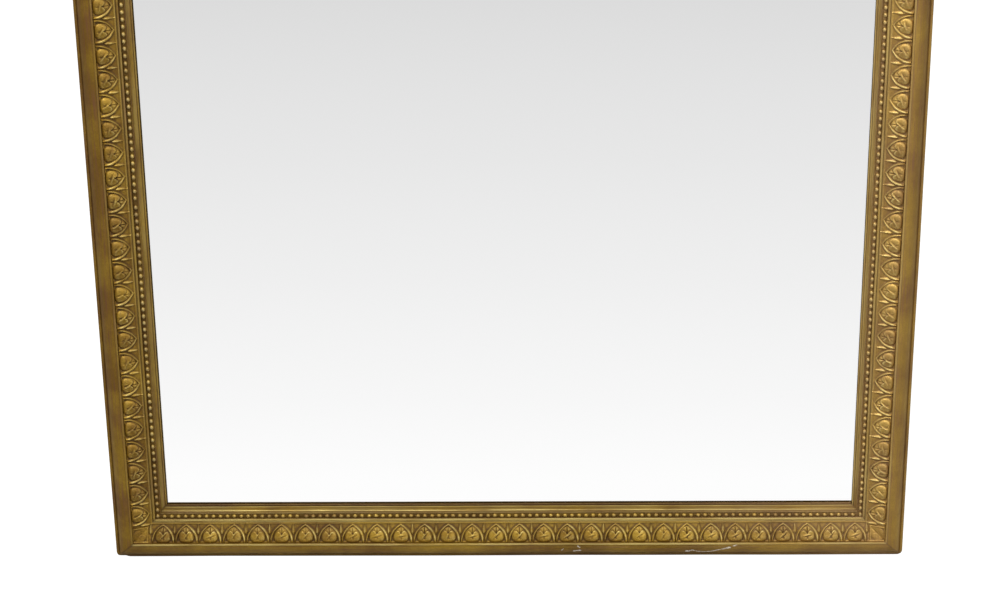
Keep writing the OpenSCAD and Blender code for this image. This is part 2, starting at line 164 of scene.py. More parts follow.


# ---- Wear, dirt, painted shade and painted highlight, side by side ------------

# How bright each side's edges, leaves, beads and slip are painted: wear and painted highlight
POLISH_AND_LIGHT = {"bottom": 1.0, "left": 0.15, "top": 0.3, "right": 0.4}
LEAF_POLISH_AND_LIGHT = {"bottom": 0.5, "left": 0.45, "top": 0.6, "right": 0.9}
BEAD_POLISH_AND_LIGHT = {"bottom": 0.45, "left": 1.0, "top": 1.0, "right": 0.85}
SLIP_POLISH_AND_LIGHT = {"bottom": 0.4, "left": 1.7, "top": 0.8, "right": 1.6}
# How much painted sheen the bed mouldings get away from their edges
BED_SHEEN = 1.3
# Which rib of a leaf stands fuller and gets a painted highlight, by its side along the run
FULL_LIT_RIB = {"bottom": 1, "left": 1, "top": -1, "right": -1}
# Which way the slanting crease of its leaves runs
SLANT = {"bottom": -1, "left": 1, "top": 1, "right": -1}
# How dark the painted shade and dirt lie in hollows and dull stretches, mouldings and leaves
GRIME_AND_SHADE = {"bottom": 0.95, "left": 0.5, "top": 0.5, "right": 0.45}
LEAF_GRIME_AND_SHADE = {"bottom": 1.3, "left": 1.05, "top": 1.0, "right": 0.9}
# and how much more painted shade lies on the tips of a side's leaves
TIP_SHADE = {"bottom": 0.22}
# The dull stretches, painted darker with shade and dirt and without highlight: u from,
# u to, and the share kept off
OUTER_DULL = {"bottom": ((-9, 4.0, 0.78), (25.2, 26.0, 0.35))}
SLIP_DULL = {
    "bottom": ((64.8, 66.2, 0.5), (68.2, 72.0, 1.0)),
    "right": ((62.0, 65.5, 0.45),),
}
BED_DULL = {
    "bottom": ((54.9, 55.8, 0.45), (55.8, 62.2, 0.95), (62.2, 63.0, 0.8), (63.0, 64.0, 0.35))
}
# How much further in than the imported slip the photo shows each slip's edge, in mm
SLIP_MORE = {"bottom": 2.4, "left": 1.8, "top": 1.0, "right": 0.2}
# How much of the bottom left corner is broken away, in mm, and between which two
# distances from it the break runs out along the bottom
BROKEN, BREAK_ENDS = 1.9, (13, 18)

# How far the outer corners have dropped, and over what distance; how wide the mitres
# have opened; how deep the chips are
CORNER_DROP, CORNER_SPREAD, MITRE_GAP, CHIP_DEPTH = 0.7, 3.5, 0.9, 0.3
# Over what lengths a moulding wanders up and down, and to and fro
WAVER_LONG = (190, 260)


# ---- What a user would change -------------------------------------------------


def length_setting(name, description, default, low, high):
    """A length that a user sets, given here in mm. Blender keeps it in metres."""
    return FloatProperty(
        name=name,
        description=description,
        default=default * MM,
        min=low * MM,
        max=high * MM,
        unit="LENGTH",
    )


def share_setting(name, description, default, high):
    """A share or a strength that a user sets, from 0 up to high."""
    return FloatProperty(
        name=name, description=description, default=default, min=0.0, max=high, subtype="FACTOR"
    )


def power_setting(name, description, default):
    """A lamp's power that a user sets, in watts."""
    return FloatProperty(
        name=name, description=description, default=default, min=0.0, max=500.0, unit="POWER"
    )


def colour_setting(name, description, default):
    """A colour that a user sets, its default an sRGB hex value."""
    return FloatVectorProperty(
        name=name, description=description, default=linear(default)[:3], subtype="COLOR"
    )


class PierMirrorSizes(bpy.types.PropertyGroup):
    """Sizes of the ornament and of its wear."""

    leaf_relief: length_setting("Leaf relief", "Height of a leaf above the band", 4.3, 1.0, 4.6)
    rib_height: length_setting("Rib height", "Height of the rib round a leaf", 3.3, 0.5, 4.0)
    rib_width: length_setting("Rib width", "Width of that rib at its foot", 4.0, 2.0, 5.0)
    dart_height: length_setting("Dart height", "Height of the dart between leaves", 3.0, 0.5, 4.0)
    crease_depth: length_setting("Crease depth", "Depth of the creases in a leaf", 1.9, 0.0, 3.0)
    waver: length_setting(
        "Waver", "How far a hand-planed moulding wanders from its section", 0.18, 0.0, 1.0
    )
    corner_wear: length_setting(
        "Corner wear", "Radius that the frame's outer corners are worn to", 7.0, 0.5, 15.0
    )
    bead_size: length_setting("Bead size", "Length of a bead of the inner row", 6.9, 4.0, 8.0)
    bead_jitter: share_setting(
        "Bead jitter", "How much one bead's size differs from the next", 0.05, 0.2
    )


class PierMirrorFinishes(bpy.types.PropertyGroup):
    """Colours of the finishes."""

    gold: colour_setting("Gold", "Clean gold leaf under its tone", "#aa8729")
    toned_gold: colour_setting("Toned gold", "Gold browned under size and dust", "#7d5b18")
    # Painted highlight on the edges, along with wear from dusting
    burnished_highlight: colour_setting("Burnished", "Edges that dusting keeps bright", "#d3be73")
    # Painted shade in the hollows, along with dust and wax
    hollow: colour_setting("Hollow", "Dust and wax in the hollows", "#3f2400")
    bole: colour_setting("Bole", "Red-brown clay where the leaf is rubbed", "#6b3f22")
    gesso: colour_setting("Gesso", "White ground where the finish is chipped", "#f3ecdd")
    # Also painted light: it pales and brightens the right side
    dust: colour_setting("Dust", "Haze of dust on the gold of the right side", "#d0a676")
    pine: colour_setting("Pine", "The carcass, never finished", "#b08a5c")
    old_pine: colour_setting("Old pine", "Backboards and blocks, browned by age", "#86663f")
    brass: colour_setting("Brass", "Hanger straps and screws, dulled", "#a58443")
    iron: colour_setting("Iron", "Hanger rings and nails", "#4a4440")


class PierMirrorStage(bpy.types.PropertyGroup):
    """Camera and light."""

    lens: FloatProperty(
        name="Lens",
        description="Focal length on a 36 mm sensor",
        default=85.783,
        min=20,
        max=200,
        unit="CAMERA",
    )
    key_power: power_setting("Key light", "Power of the large lamp at the upper left", 67.0)
    fill_power: power_setting("Fill light", "Power of the lamp at the right", 22.0)
    back_power: power_setting("Back light", "Power of the lamp behind the mirror", 70.0)
    room_light: share_setting("Room light", "Strength of the plain pale room", 0.24, 2.0)
    floor_shade: share_setting("Floor shade", "How much light and shadow it takes", 0.3, 1.0)


# ---- Surfaces -----------------------------------------------------------------


def wander(x, y, wavelength, seed, waves=9):
    """Smooth seeded noise of about -1 to 1: a sum of sine waves of like length
    that cross the x, y plane in different directions."""
    rng = np.random.default_rng(seed)
    total = np.zeros(np.broadcast(x, y).shape)
    for length, turn, phase in zip(
        wavelength * rng.uniform(0.6, 1.9, waves),
        rng.uniform(0, np.pi, waves),
        rng.uniform(0, 2 * np.pi, waves),
    ):
        total += np.sin(
            2 * np.pi * (x * np.cos(turn) + y * np.sin(turn)) / length + phase
        )
    return total / math.sqrt(waves)


def smooth_step(value, low, high):
    """Rises from 0 at low to 1 at high along 3t^2 - 2t^3."""
    t = np.clip((value - low) / (high - low), 0, 1)
    return t * t * (3 - 2 * t)


def blurred(field, sigma):
    """Gaussian mean of a field over sigma cells each way, its edge values carried outwards."""
    reach = int(3 * sigma)
    weights = np.exp(-0.5 * (np.arange(-reach, reach + 1) / sigma) ** 2)
    weights /= weights.sum()
    for axis in (0, 1):
        count = field.shape[axis]
        pad = [(reach, reach) if a == axis else (0, 0) for a in (0, 1)]
        padded = np.pad(field, pad, mode="edge")
        field = sum(
            w * np.take(padded, np.arange(k, k + count), axis=axis)
            for k, w in enumerate(weights)
        )
    return field


def ring_faces(rings, points, closed=False):
    """Quads between neighbouring rings of points. An open row of rings gets its two
    ends filled; a closed one joins its last ring to its first."""
    spots = np.arange(points)
    nxt = (spots + 1) % points
    first = np.arange(rings if closed else rings - 1)[:, None]
    start, end = first * points, (first + 1) % rings * points
    quads = np.stack([start + spots, end + spots, end + nxt, start + nxt], -1)
    faces = [quads.reshape(-1, 4)]
    if not closed:
        faces += [spots[None], ((rings - 1) * points + spots[::-1])[None]]
    return faces


def build(name, points, faces, values=None, crease=50):
    """Makes one object at the origin from points in metres. faces is a list of whole
    number arrays, one for each count of corners. values are named arrays, one number
    or vector a point. Edges sharper than crease degrees stay sharp."""
    mesh = bpy.data.meshes.new(name)
    points = points.reshape(-1, 3)
    corners = np.concatenate([f.ravel() for f in faces])
    sizes = np.concatenate([np.full(len(f), f.shape[1]) for f in faces])
    mesh.vertices.add(len(points))
    mesh.vertices.foreach_set("co", points.ravel().astype(np.float32))
    mesh.loops.add(len(corners))
    mesh.loops.foreach_set("vertex_index", corners.astype(np.int32))
    mesh.polygons.add(len(sizes))
    starts = np.concatenate([[0], np.cumsum(sizes)[:-1]])
    mesh.polygons.foreach_set("loop_start", starts.astype(np.int32))
    mesh.update(calc_edges=True)
    for label, value in (values or {}).items():
        vector = value.size == points.size
        kind, key = ("FLOAT_VECTOR", "vector") if vector else ("FLOAT", "value")
        attribute = mesh.attributes.new(label, kind, "POINT")
        attribute.data.foreach_set(key, value.astype(np.float32).ravel())
    mesh.shade_smooth()
    mesh.set_sharp_from_angle(angle=math.radians(crease))
    made = bpy.data.objects.new(name, mesh)
    bpy.context.scene.collection.objects.link(made)
    return made


def dress(piece, body, slot, material, *nodes):
    """Rides a piece on its body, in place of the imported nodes, with its finish."""
    piece.data.materials.append(material)
    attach(piece, body)
    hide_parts(*nodes)
    return piece


# ---- Plain mouldings ----------------------------------------------------------


def soften(corners, steps=4):
    """Rounds a section's corners. Each is (u, h, setback): between the two points at
    that setback before and after the corner runs a quadratic Bezier curve."""
    corners = np.array(corners, float)
    spots, setback = corners[:, :2], corners[:, 2]
    t = np.linspace(0, 1, steps + 1)[:, None]
    out = []
    for i, corner in enumerate(spots):
        if setback[i] == 0:
            out.append(corner[None])
            continue
        before, after = spots[i - 1] - corner, spots[(i + 1) % len(spots)] - corner
        a = corner + before * setback[i] / np.linalg.norm(before)
        b = corner + after * setback[i] / np.linalg.norm(after)
        out.append((1 - t) ** 2 * a + 2 * t * (1 - t) * corner + t**2 * b)
    return np.concatenate(out)


def divided(section, longest):
    """Cuts a closed section's long edges into equal parts no longer than longest."""
    out = []
    for a, b in zip(section, np.roll(section, -1, axis=0)):
        parts = max(1, math.ceil(np.linalg.norm(b - a) / longest))
        out.append(a + (b - a) * np.arange(parts)[:, None] / parts)
    return np.concatenate(out)


def section_hollows_and_arrises(section, reach=1.6, step=0.2, full=0.55):
    """How deep each point of a section lies in a hollow and how far it stands out,
    each 0 to 1: its distance, along the outward normal, from the mean of the section
    within reach of it. An arris shows sooner than a hollow."""
    closed = np.vstack([section, section[:1]])
    along = np.concatenate([[0], np.cumsum(np.linalg.norm(np.diff(closed, axis=0), axis=1))])
    fine = np.arange(0, along[-1], step)
    path = np.stack([np.interp(fine, along, closed[:, k]) for k in (0, 1)], 1)
    width = int(reach / step)
    mean = sum(np.roll(path, k, axis=0) for k in range(-width, width + 1))
    tangent = np.roll(path, -2, axis=0) - np.roll(path, 2, axis=0)
    normal = np.stack([-tangent[:, 1], tangent[:, 0]], 1)
    normal /= np.linalg.norm(normal, axis=1)[:, None]
    sunk = ((mean / (2 * width + 1) - path) * normal).sum(1)
    sunk = np.interp(along[:-1], fine, sunk) / full
    return np.clip(sunk, 0, 1), np.clip(-1.5 * sunk, 0, 1), along[:-1]


def stations(length, step, fine=()):
    """Places along a side from end to end, step apart, and closer in the fine
    stretches, each (start, end, step)."""
    spots = [np.linspace(-length / 2, length / 2, round(length / step) + 1)]
    for start, end, close in fine:
        spots[0] = spots[0][(spots[0] < start) | (spots[0] > end)]
        spots.append(np.linspace(start, end, round((end - start) / close) + 1))
    return np.unique(np.concatenate(spots))


def worn_corner(a, u, radius):
    """Rounds the square corner between two outer edges, a and u away: each square
    about the centre of the round is drawn in to the circle that touches it."""
    da, du = radius - a, radius - u
    inside = (da > 0) & (du > 0)
    far = np.hypot(da, du)
    keep = np.where(inside, np.maximum(da, du) / np.where(far > 0, far, 1), 1)
    return radius - da * keep, radius - du * keep


def short_corner(side, x, away, u):
    """The frame's bottom left corner is broken away: no point near it lies lower than
    the break."""
    if side == "bottom":
        near, far = BREAK_ENDS
        low = BROKEN * smooth_step(away, far, near) * (x < 0)
        return away, np.maximum(u, low)
    if side == "left":
        return np.where(x > 0, np.maximum(away, BROKEN), away), u
    return away, u


def near_path(x, u, path):
    """Distance from each point to the nearest stretch of a path of (x, u) points."""
    nearest = np.full(np.broadcast(x, u).shape, np.inf)
    for (x0, u0), (x1, u1) in zip(path[:-1], path[1:]):
        dx, du = x1 - x0, u1 - u0
        t = np.clip(((x - x0) * dx + (u - u0) * du) / (dx * dx + du * du), 0, 1)
        nearest = np.minimum(nearest, np.hypot(x - x0 - t * dx, u - u0 - t * du))
    return nearest


def swept(
    name, side, section, step, waver, dull=(), sheen=0.0, fine=(), corner_wear=0.0, chips=()
):
    """A section carried along one side and mitred, x = s (L / 2 - u) with s from -1
    to 1. It wanders slowly, its outer corners are worn, and chips, each (path, half
    width), are bared to the gesso and sunk a little. Its hollows get painted shade
    and dirt, its arrises painted highlight and wear, at least as much as sheen, but
    in each dull stretch, (u from, u to, share), that share of the highlight is kept off
    and painted shade and dirt put on instead."""
    length = run_length(side)
    hollow, rub_and_highlight, arc = section_hollows_and_arrises(section)
    s = 2 * stations(length, step, fine)[:, None] / length
    u0, h0 = section[:, 0], section[:, 1]
    x = s * (length / 2 - u0)
    u, h = u0 + 0 * x, h0 + 0 * x
    seed = SEEDS[side]
    front = smooth_step(h0, GLASS_H + 0.2, GLASS_H + 3)
    h = h + waver * front * wander(x, u, WAVER_LONG[0], seed)
    u = u + 0.6 * waver * wander(x, 0 * u, WAVER_LONG[1], seed + 1)
    if corner_wear:
        away, u = worn_corner(length / 2 - abs(x), u, corner_wear)
        away, u = short_corner(side, x, away, u)
        x = np.sign(x) * (length / 2 - away)
        drop = CORNER_DROP * np.exp(-np.hypot(away, u) / CORNER_SPREAD)
        h = h - drop * (h0 > H_BASE + 5)
    mitre = length / 2 - abs(x) - u
    bare = np.zeros_like(x)
    for path, half in chips:
        ragged = half * (1 + 0.35 * wander(x, u, 4, seed + 5))
        bare = np.maximum(bare, smooth_step(ragged - near_path(x, u, path), 0, 0.25))
    h = h - CHIP_DEPTH * bare
    open_mitre = np.exp(-((mitre / MITRE_GAP) ** 2))
    kept = 0 * u0
    for start, end, share in dull:
        kept = np.where((u0 > start) & (u0 < end), share, kept)
    # Hollows and dull stretches are painted darker, as painted shade together with dirt
    grime_and_shade = np.maximum(hollow, GRIME_AND_SHADE[side] * kept)
    values = {
        "hollow": np.maximum(grime_and_shade + 0 * x, 0.8 * open_mitre),
        "rub_and_highlight": POLISH_AND_LIGHT[side] * np.maximum(rub_and_highlight, sheen) * (1 - kept) + 0 * x,
        "bare": bare,
        "run": np.stack([x, arc + 0 * x, 0 * x], -1) * MM,
    }
    return build(name, place(side, x, u, h), ring_faces(*x.shape), values, crease=38)


def outer_section():
    """Flat, quirk, broad ovolo and ridge: the ovolo is a quarter of an ellipse, and
    the rest straight lines with worn arrises. Gesso and size have half filled the
    quirk."""
    rise = H_RIDGE - RIDGE_STEP - H_QUIRK
    filled = (H_QUIRK + EDGE_H) / 2
    ovolo = [
        (U_OVOLO + (U_RIDGE - U_OVOLO) * (1 - math.cos(t)), H_QUIRK + rise * math.sin(t), 0)
        for t in np.linspace(0.12, np.pi / 2, 24)[:-1]
    ]
    corners = [(0, H_BASE, 0), (0, EDGE_H, 1.2), (EDGE_W - 0.6, EDGE_H, 0.8)]
    corners += [(EDGE_W + 0.2, filled, 0.5)] + ovolo + [(U_RIDGE, H_QUIRK + rise, 0.25)]
    corners += [(U_RIDGE, H_RIDGE, 0.4), (U_LEAF, H_RIDGE, 0.9), (U_LEAF, H_BASE, 0)]
    return divided(soften(corners), 1.2)


def bed_section():
    """Seat of the leaves, lip, bead channel and rim, with worn arrises and a thin
    fillet at the foot of the wall."""
    seat = H_LEAF - GROUND
    corners = [(U_LEAF, H_BASE, 0), (U_LEAF, seat, 0), (U_LIP, H_LIP - 0.6, 0.2)]
    corners += [(U_LIP + 0.6, H_LIP, 0.6), (U_BEAD, H_LIP, 1.6)]
    corners += [(U_BEAD, H_CHANNEL, 0.6), (U_RIM, H_CHANNEL, 0.5)]
    top, upper, lower, foot = WALL_FILLET
    corners += [(U_RIM, H_RIM, 0.4), (U_WALL, H_RIM, 0.4), (U_WALL, top, 0.3)]
    corners += [(U_WALL + FILLET_OUT, upper, 0.25), (U_WALL + FILLET_OUT, lower, 0.25)]
    corners += [(U_WALL, foot, 0.2), (U_WALL, H_SLIP, 0)]
    corners += [(CARCASS_W, H_SLIP, 0), (CARCASS_W, H_BASE, 0)]
    return divided(soften(corners), 1.6)


def slip_section(more):
    """The slip beside the glass: a gently falling flat, a groove, and a round over
    half an ellipse that ends at the sight edge, which lies more mm further in than
    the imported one."""
    sight = U_SIGHT + more
    start = sight - SLIP_ROUND
    groove = start - SLIP_GROOVE
    half, rise = SLIP_ROUND / 2, H_SLIP - 0.4 - GLASS_H - SIGHT_H
    bow = [
        (start + half * (1 - math.cos(t)), GLASS_H + SIGHT_H + rise * math.sin(t), 0)
        for t in np.linspace(0, np.pi, 13)
    ]
    corners = [(CARCASS_W, GLASS_H, 0), (CARCASS_W, H_SLIP, 0), (U_WALL, H_SLIP, 0.3)]
    corners += [(groove, H_SLIP - SLIP_FALL, 0.4), (groove, H_SLIP - GROOVE_FALL, 0.25)]
    corners += [(start, H_SLIP - GROOVE_FALL, 0.1)]
    return divided(soften(corners + bow + [(sight, GLASS_H, 0)]), 1.2)


# ---- Leaf and dart ------------------------------------------------------------


def flank(half, height):
    """Radius of the arc that rises upright at half and meets the middle at height."""
    return (half * half + height * height) / (2 * half)


def leaf_rise(across, along, half, waist, length):
    """How high a leaf stands, 0 to 1, and how near its edge a point is. Below the
    waist it is half a squarish ellipse, above it two arcs that meet in a point. Its
    flanks are steep and its face is a low dome."""
    radius = flank(half, length - waist)
    side = radius - half
    above = (np.hypot(abs(across) + side, along - waist) - side) / half
    below = abs(across / half) ** 2.6 + (np.maximum(waist - along, 0) / waist) ** 2.6
    edge = np.where(along > waist, above, below ** (1 / 2.6))
    inner = np.clip(1 - edge, 0, 1)
    return 0.74 * (1 - (1 - inner) ** 5) ** 0.5 + 0.26 * (1 - (1 - inner) ** 2), edge


def creases(across, along, half, fold, depth, vary, slant=0.0):
    """The creases pressed in a leaf: one down the middle from its tip to the fold,
    and the fold itself, a V whose arms rise and droop again. The cup under the fold
    stands over the two petals above it, and a slanting crease crosses it, that many
    radians from level."""
    reach = np.clip(abs(across) / (0.9 * half), 0, 1)
    past = along - fold - 0.42 * half * np.sin(np.pi * reach)
    above = 1 / (1 + np.exp(-past / 0.22))
    middle = np.exp(-((across / 0.8) ** 2)) * smooth_step(along, fold - 0.4, fold + 0.8)
    cup = 0.7 * np.exp(-np.abs(past) / 1.5) * (1 - above) * smooth_step(reach, 1.0, 0.45)
    petal = -1.1 * np.exp(-np.abs(past) / 1.7) * above * smooth_step(reach, 1.2, 0.3)
    dimple = -0.6 * np.exp(-(((across - 0.5) / 1.1) ** 2 + ((along - 0.4 * fold) / 1.6) ** 2))
    beside = np.cos(slant) * (along - 0.62 * fold) + np.sin(slant) * across
    level = np.cos(slant) * across - np.sin(slant) * (along - 0.62 * fold)
    cut = -0.55 * np.exp(-((beside / 0.8) ** 2) - (np.abs(level - 1.0) / 5.0) ** 3)
    shelf = 0.45 * np.exp(-(((beside - 1.5) / 1.1) ** 2) - (np.abs(level) / 5.0) ** 3)
    return depth * vary * (cup + petal - 0.9 * middle + dimple + cut + shelf)


def leaf_field(side, x, y, sizes):
    """Height of the leaf and dart course over its ground, at x along a side and y
    down the band: the highest of leaf, arched rib, dart and border, each motif a
    little different from the next. Also how far, -1 to 1, a point lies towards the
    leaf's fuller rib, the one that gets the painted highlight."""
    course = run_length(side) - 2 * FIRST_DART
    count = round(course / LEAF_PITCH)
    pitch = course / count
    turn = (x + course / 2) / pitch
    index = np.clip(np.floor(turn), -1, count).astype(int)
    rng = np.random.default_rng(SEEDS[side])
    vary = rng.uniform(-1, 1, (count + 2, 6))[index + 1]
    along = y - MOTIF_Y
    across = (turn - np.floor(turn) - 0.5) * pitch + LEAF_STRAY * vary[..., 0]
    within = ((turn > 0) & (turn < count)).astype(float)

    half = LEAF_HALF + 0.3 * vary[..., 1]
    lean = across - 0.03 * vary[..., 2] * along
    rise, edge = leaf_rise(lean, along + LEAF_UNDER, half, LEAF_WAIST, LEAF_LONG)
    leaf = sizes.leaf_relief / MM * (1 + 0.06 * vary[..., 3]) * rise
    leaf = leaf + creases(
        lean, along, half, LEAF_FOLD + 0.7 * vary[..., 4], sizes.crease_depth / MM,
        0.9 + 0.35 * vary[..., 5], SLANT[side] * (0.7 + 0.5 * vary[..., 3]),
    ) * smooth_step(edge, 1.0, 0.8)
    leaf = np.where(edge < 1, leaf, -1) * within - (1 - within)

    rib_half = (pitch - FOOT_GAP) / 2 - RIB_IN
    rib_length = MOTIF_L - RIB_SHORT
    radius = flank(rib_half, rib_length)
    off = np.hypot(abs(across) + radius - rib_half, np.maximum(along, 0)) - radius
    climb = np.clip(along / rib_length, 0, 1)
    fuller = FULL_LIT_RIB[side] * np.tanh(across / 4)
    width = sizes.rib_width / MM / 2 * (0.78 - 0.1 * climb + 0.4 * np.sin(np.pi * climb))
    width = width * (1 + 0.22 * fuller)
    worn = 1 + 0.16 * wander(x, y, 22, SEEDS[side] + 3)
    round_top = np.cos(np.pi / 2 * np.clip(abs(off) / width, 0, 1)) ** 0.8
    worn = worn * (1 - 0.4 * smooth_step(climb, 0.72, 1.0))
    rib = sizes.rib_height / MM * worn * round_top * within * (along < rib_length + 1.5)
    inside = smooth_step(-off, 0.5, 1.8) * within

    from_dart = pitch * np.abs(turn - np.round(turn))
    t = np.clip((along - DART_FROM) / DART_LONG, 0, 1)
    spear = DART_HALF * smooth_step(t, 0.0, 0.35) * (1 - smooth_step(t, 0.32, 1.15)) + 1e-6
    crest = np.clip(1 - from_dart / spear, 0, 1) ** 0.8
    at_dart = (turn > -0.5) & (turn < count + 0.5)
    dart = sizes.dart_height / MM * (1 - 0.3 * t) * crest * at_dart

    ledge = 0.3 * smooth_step(along, 0.4, -0.8)
    fillet = FILLET_H * smooth_step(y, BAND_Y1 - 0.3, BAND_Y1 + 0.35)
    ground = -GROUND_SUNK * inside + 0.1 * wander(x, y, 7, SEEDS[side] + 4)
    high = np.maximum.reduce([leaf, rib - 0.3, dart - 0.1, ledge, ground])
    high = np.maximum(high, fillet - 0.3 * (fillet < 0.05))
    return high + 0.05 * wander(x, y, 2.6, SEEDS[side] + 6), fuller


def relief_hollows_and_crests(height, cell, spread=1.7, full=1.5):
    """How deep each point of a relief lies under its surroundings and how far it
    stands above them, each 0 to 1."""
    sunk = (blurred(height, spread / cell) - height) / full
    return np.clip(1.6 * sunk, 0, 1), np.clip(-1.4 * sunk, 0, 1)


def on_band(y, z):
    """Section u and h of a point y down the band's slope and z out of it."""
    u = U_LEAF + y * math.cos(SLOPE) + z * math.sin(SLOPE)
    return u, H_LEAF - y * math.sin(SLOPE) + z * math.cos(SLOPE)


def leaf_strip(side, sizes):
    """One side's pressed strip: a relief carried along the band over a thin ground.
    Size has filled the gap between it and the ridge. The rows past the corner leaf
    reach on to the mitre."""
    length = run_length(side)
    end = length / 2 - CORNER_REACH
    base = end - 20
    x0 = np.linspace(-end, end, round(2 * end / LEAF_STEP) + 1)[:, None]
    y = np.linspace(0.1, BAND_END, 40)
    row_end = length / 2 - np.maximum(CORNER_REACH, U_LEAF + y * math.cos(SLOPE))
    past = np.maximum(abs(x0) - base, 0) * (row_end - base) / (end - base)
    x = np.sign(x0) * (np.minimum(abs(x0), base) + past)
    z, fuller = leaf_field(side, x, y + 0 * x, sizes)
    z = np.maximum(z, -0.9)
    # The relief's hollows get painted shade and dirt, its crests and fillet painted highlight and
    # wear
    hollow, rub_and_highlight = relief_hollows_and_crests(z, LEAF_STEP)
    # The highlight is painted fuller on the rib towards the light
    rub_and_highlight = LEAF_POLISH_AND_LIGHT[side] * rub_and_highlight * (1 + 0.5 * fuller) * smooth_step(y, 1.5, 5.0)
    border = smooth_step(y + 0 * x, BAND_Y1 + 0.3, BAND_Y1 + 0.9)
    rub_and_highlight = np.maximum(rub_and_highlight, 0.2 * border)
    hollow = LEAF_GRIME_AND_SHADE[side] * hollow * (0.5 + 0.5 * smooth_step(y, 0.8, 2.4))
    hollow = hollow + TIP_SHADE.get(side, 0) * smooth_step(y, 14, 18)
    hollow = np.clip(hollow, 0, 1) * (1 - 0.7 * border)
    gap = smooth_step(y + 0 * x, BAND_END - 0.7, BAND_END - 0.2)
    hollow, rub_and_highlight = np.maximum(hollow, gap), rub_and_highlight * (1 - gap)
    u, h = on_band(y + 0 * x, z)
    edges = [-1, 0]
    under_u, under_h = on_band(y[edges] + 0 * x[:, edges], -GROUND + 0 * x[:, edges])
    points = np.concatenate(
        [place(side, x, u, h), place(side, x[:, edges], under_u, under_h)], axis=1
    )
    flat = np.zeros((len(x), len(edges)))
    along = np.concatenate([x, x[:, edges]], 1)
    down = np.concatenate([y + 0 * x, y[edges] + flat], 1)
    values = {
        "hollow": np.concatenate([hollow, flat], 1),
        "rub_and_highlight": np.concatenate([rub_and_highlight, flat], 1),
        "bare": np.zeros_like(along),
        "run": np.stack([along, down, 0 * along], -1) * MM,
    }
    faces = ring_faces(*points.shape[:2])
    return build("gilt_leaf_strip_" + side, points, faces, values, crease=80)


def corner_leaf(corner, sizes, cells=46):
    """A leaf folded along the mitre, tip to the glass, between two ribs that mark the
    ends of the strips. p and q run from the frame's two outer edges."""
    start = U_LEAF + STRIP_GAP
    span = np.linspace(start, CORNER_REACH, cells)
    p, q = span[:, None] + 0 * span, span + 0 * span[:, None]
    seed = 70 + CORNERS.index(corner)
    along = (p + q - 2 * start) / math.sqrt(2) - CORNER_START
    across = (p - q) / math.sqrt(2)
    rise, edge = leaf_rise(across, along, CORNER_HALF, CORNER_WAIST, CORNER_LONG)
    folds = creases(across, along, CORNER_HALF, CORNER_FOLD, sizes.crease_depth / MM, 0.15)
    leaf = CORNER_LOW * sizes.leaf_relief / MM * rise + folds * smooth_step(edge, 1.0, 0.78)
    leaf = np.where(edge < 1, leaf, -1)
    width = sizes.rib_width / MM / 2
    off = abs(np.maximum(p, q) - (CORNER_REACH - 1.5)) / width
    rib = CORNER_LOW * sizes.rib_height / MM * np.cos(np.pi / 2 * np.clip(off, 0, 1))
    ledge = 1.5 * smooth_step(np.minimum(p, q) - start, 1.8, 0.6)
    ground = -0.4 + 0.12 * wander(p, q, 7, seed)
    z = np.maximum.reduce([leaf, rib - 0.2, ledge, ground]) + 0.05 * wander(p, q, 2.6, seed + 9)
    # The relief's hollows get painted shade and dirt, its crests painted highlight and wear
    hollow, rub_and_highlight = relief_hollows_and_crests(z, span[1] - span[0])
    base = H_LEAF - (np.minimum(p, q) - U_LEAF) * math.tan(SLOPE)
    top = place_corner(corner, p, q, base + z / math.cos(SLOPE))
    under = place_corner(corner, p, q, base - GROUND / math.cos(SLOPE))[:, ::-1]
    points = np.concatenate([top, under], axis=1)
    twice = np.concatenate([p, p[:, ::-1]], 1)
    values = {
        "hollow": np.concatenate([hollow, 0 * hollow], 1),
        "rub_and_highlight": np.concatenate([0.5 * rub_and_highlight, 0 * rub_and_highlight], 1),
        "bare": 0 * twice,
        "run": np.stack([twice, np.concatenate([q, q[:, ::-1]], 1), 0 * twice], -1) * MM,
    }
    faces = ring_faces(*points.shape[:2])
    return build("gilt_corner_leaf_" + corner, points, faces, values, crease=80)


# ---- Beads --------------------------------------------------------------------

# How far in from the middle of its channel each side's row stands, in mm
BEAD_OFF = {"bottom": -0.5, "left": 0.2, "top": 0.0, "right": -0.6}
# Where two lengths of bead strip meet: a side, the bead before the join counted
# from the run's start as a share of its length, and the extra gap in mm
BEAD_JOINS = {"left": (0.6885, 3.1), "right": (0.393, 2.0), "bottom": (0.2065, 3.1)}
# A bead's length, width and height as shares of its length
BEAD_SHAPE = (1, 0.86, 0.84)
# The points of each of its rings, and how far each ring lies from the crown, in degrees
BEAD_SIDES = 12
BEAD_RINGS = (98, 74, 50, 26)
# How far a bead strays from its even place
BEAD_STRAY = 0.16
# How much painted shade and dirt, and how much painted highlight and polish, each ring and the
# crown hold
BEAD_SHADE_AND_DIRT = (0.8, 0.15, 0.0, 0.0, 0.0)
BEAD_SHINE = (0, 0, 0.2, 0.4, 0.6)


def bead_places(side):
    """Places of the beads along a side: even, but for a wider gap at the join."""
    run = run_length(side) - 2 * U_BEAD_MID
    count = round(run / BEAD_PITCH)
    gaps = np.ones(count)
    share, extra = BEAD_JOINS.get(side, (0.5, 0.0))
    gaps[int(share * count)] += extra * count / run
    spots = np.concatenate([[0], np.cumsum(gaps)]) * run / gaps.sum() - run / 2
    return spots[1:-1] if side in ("bottom", "top") else spots


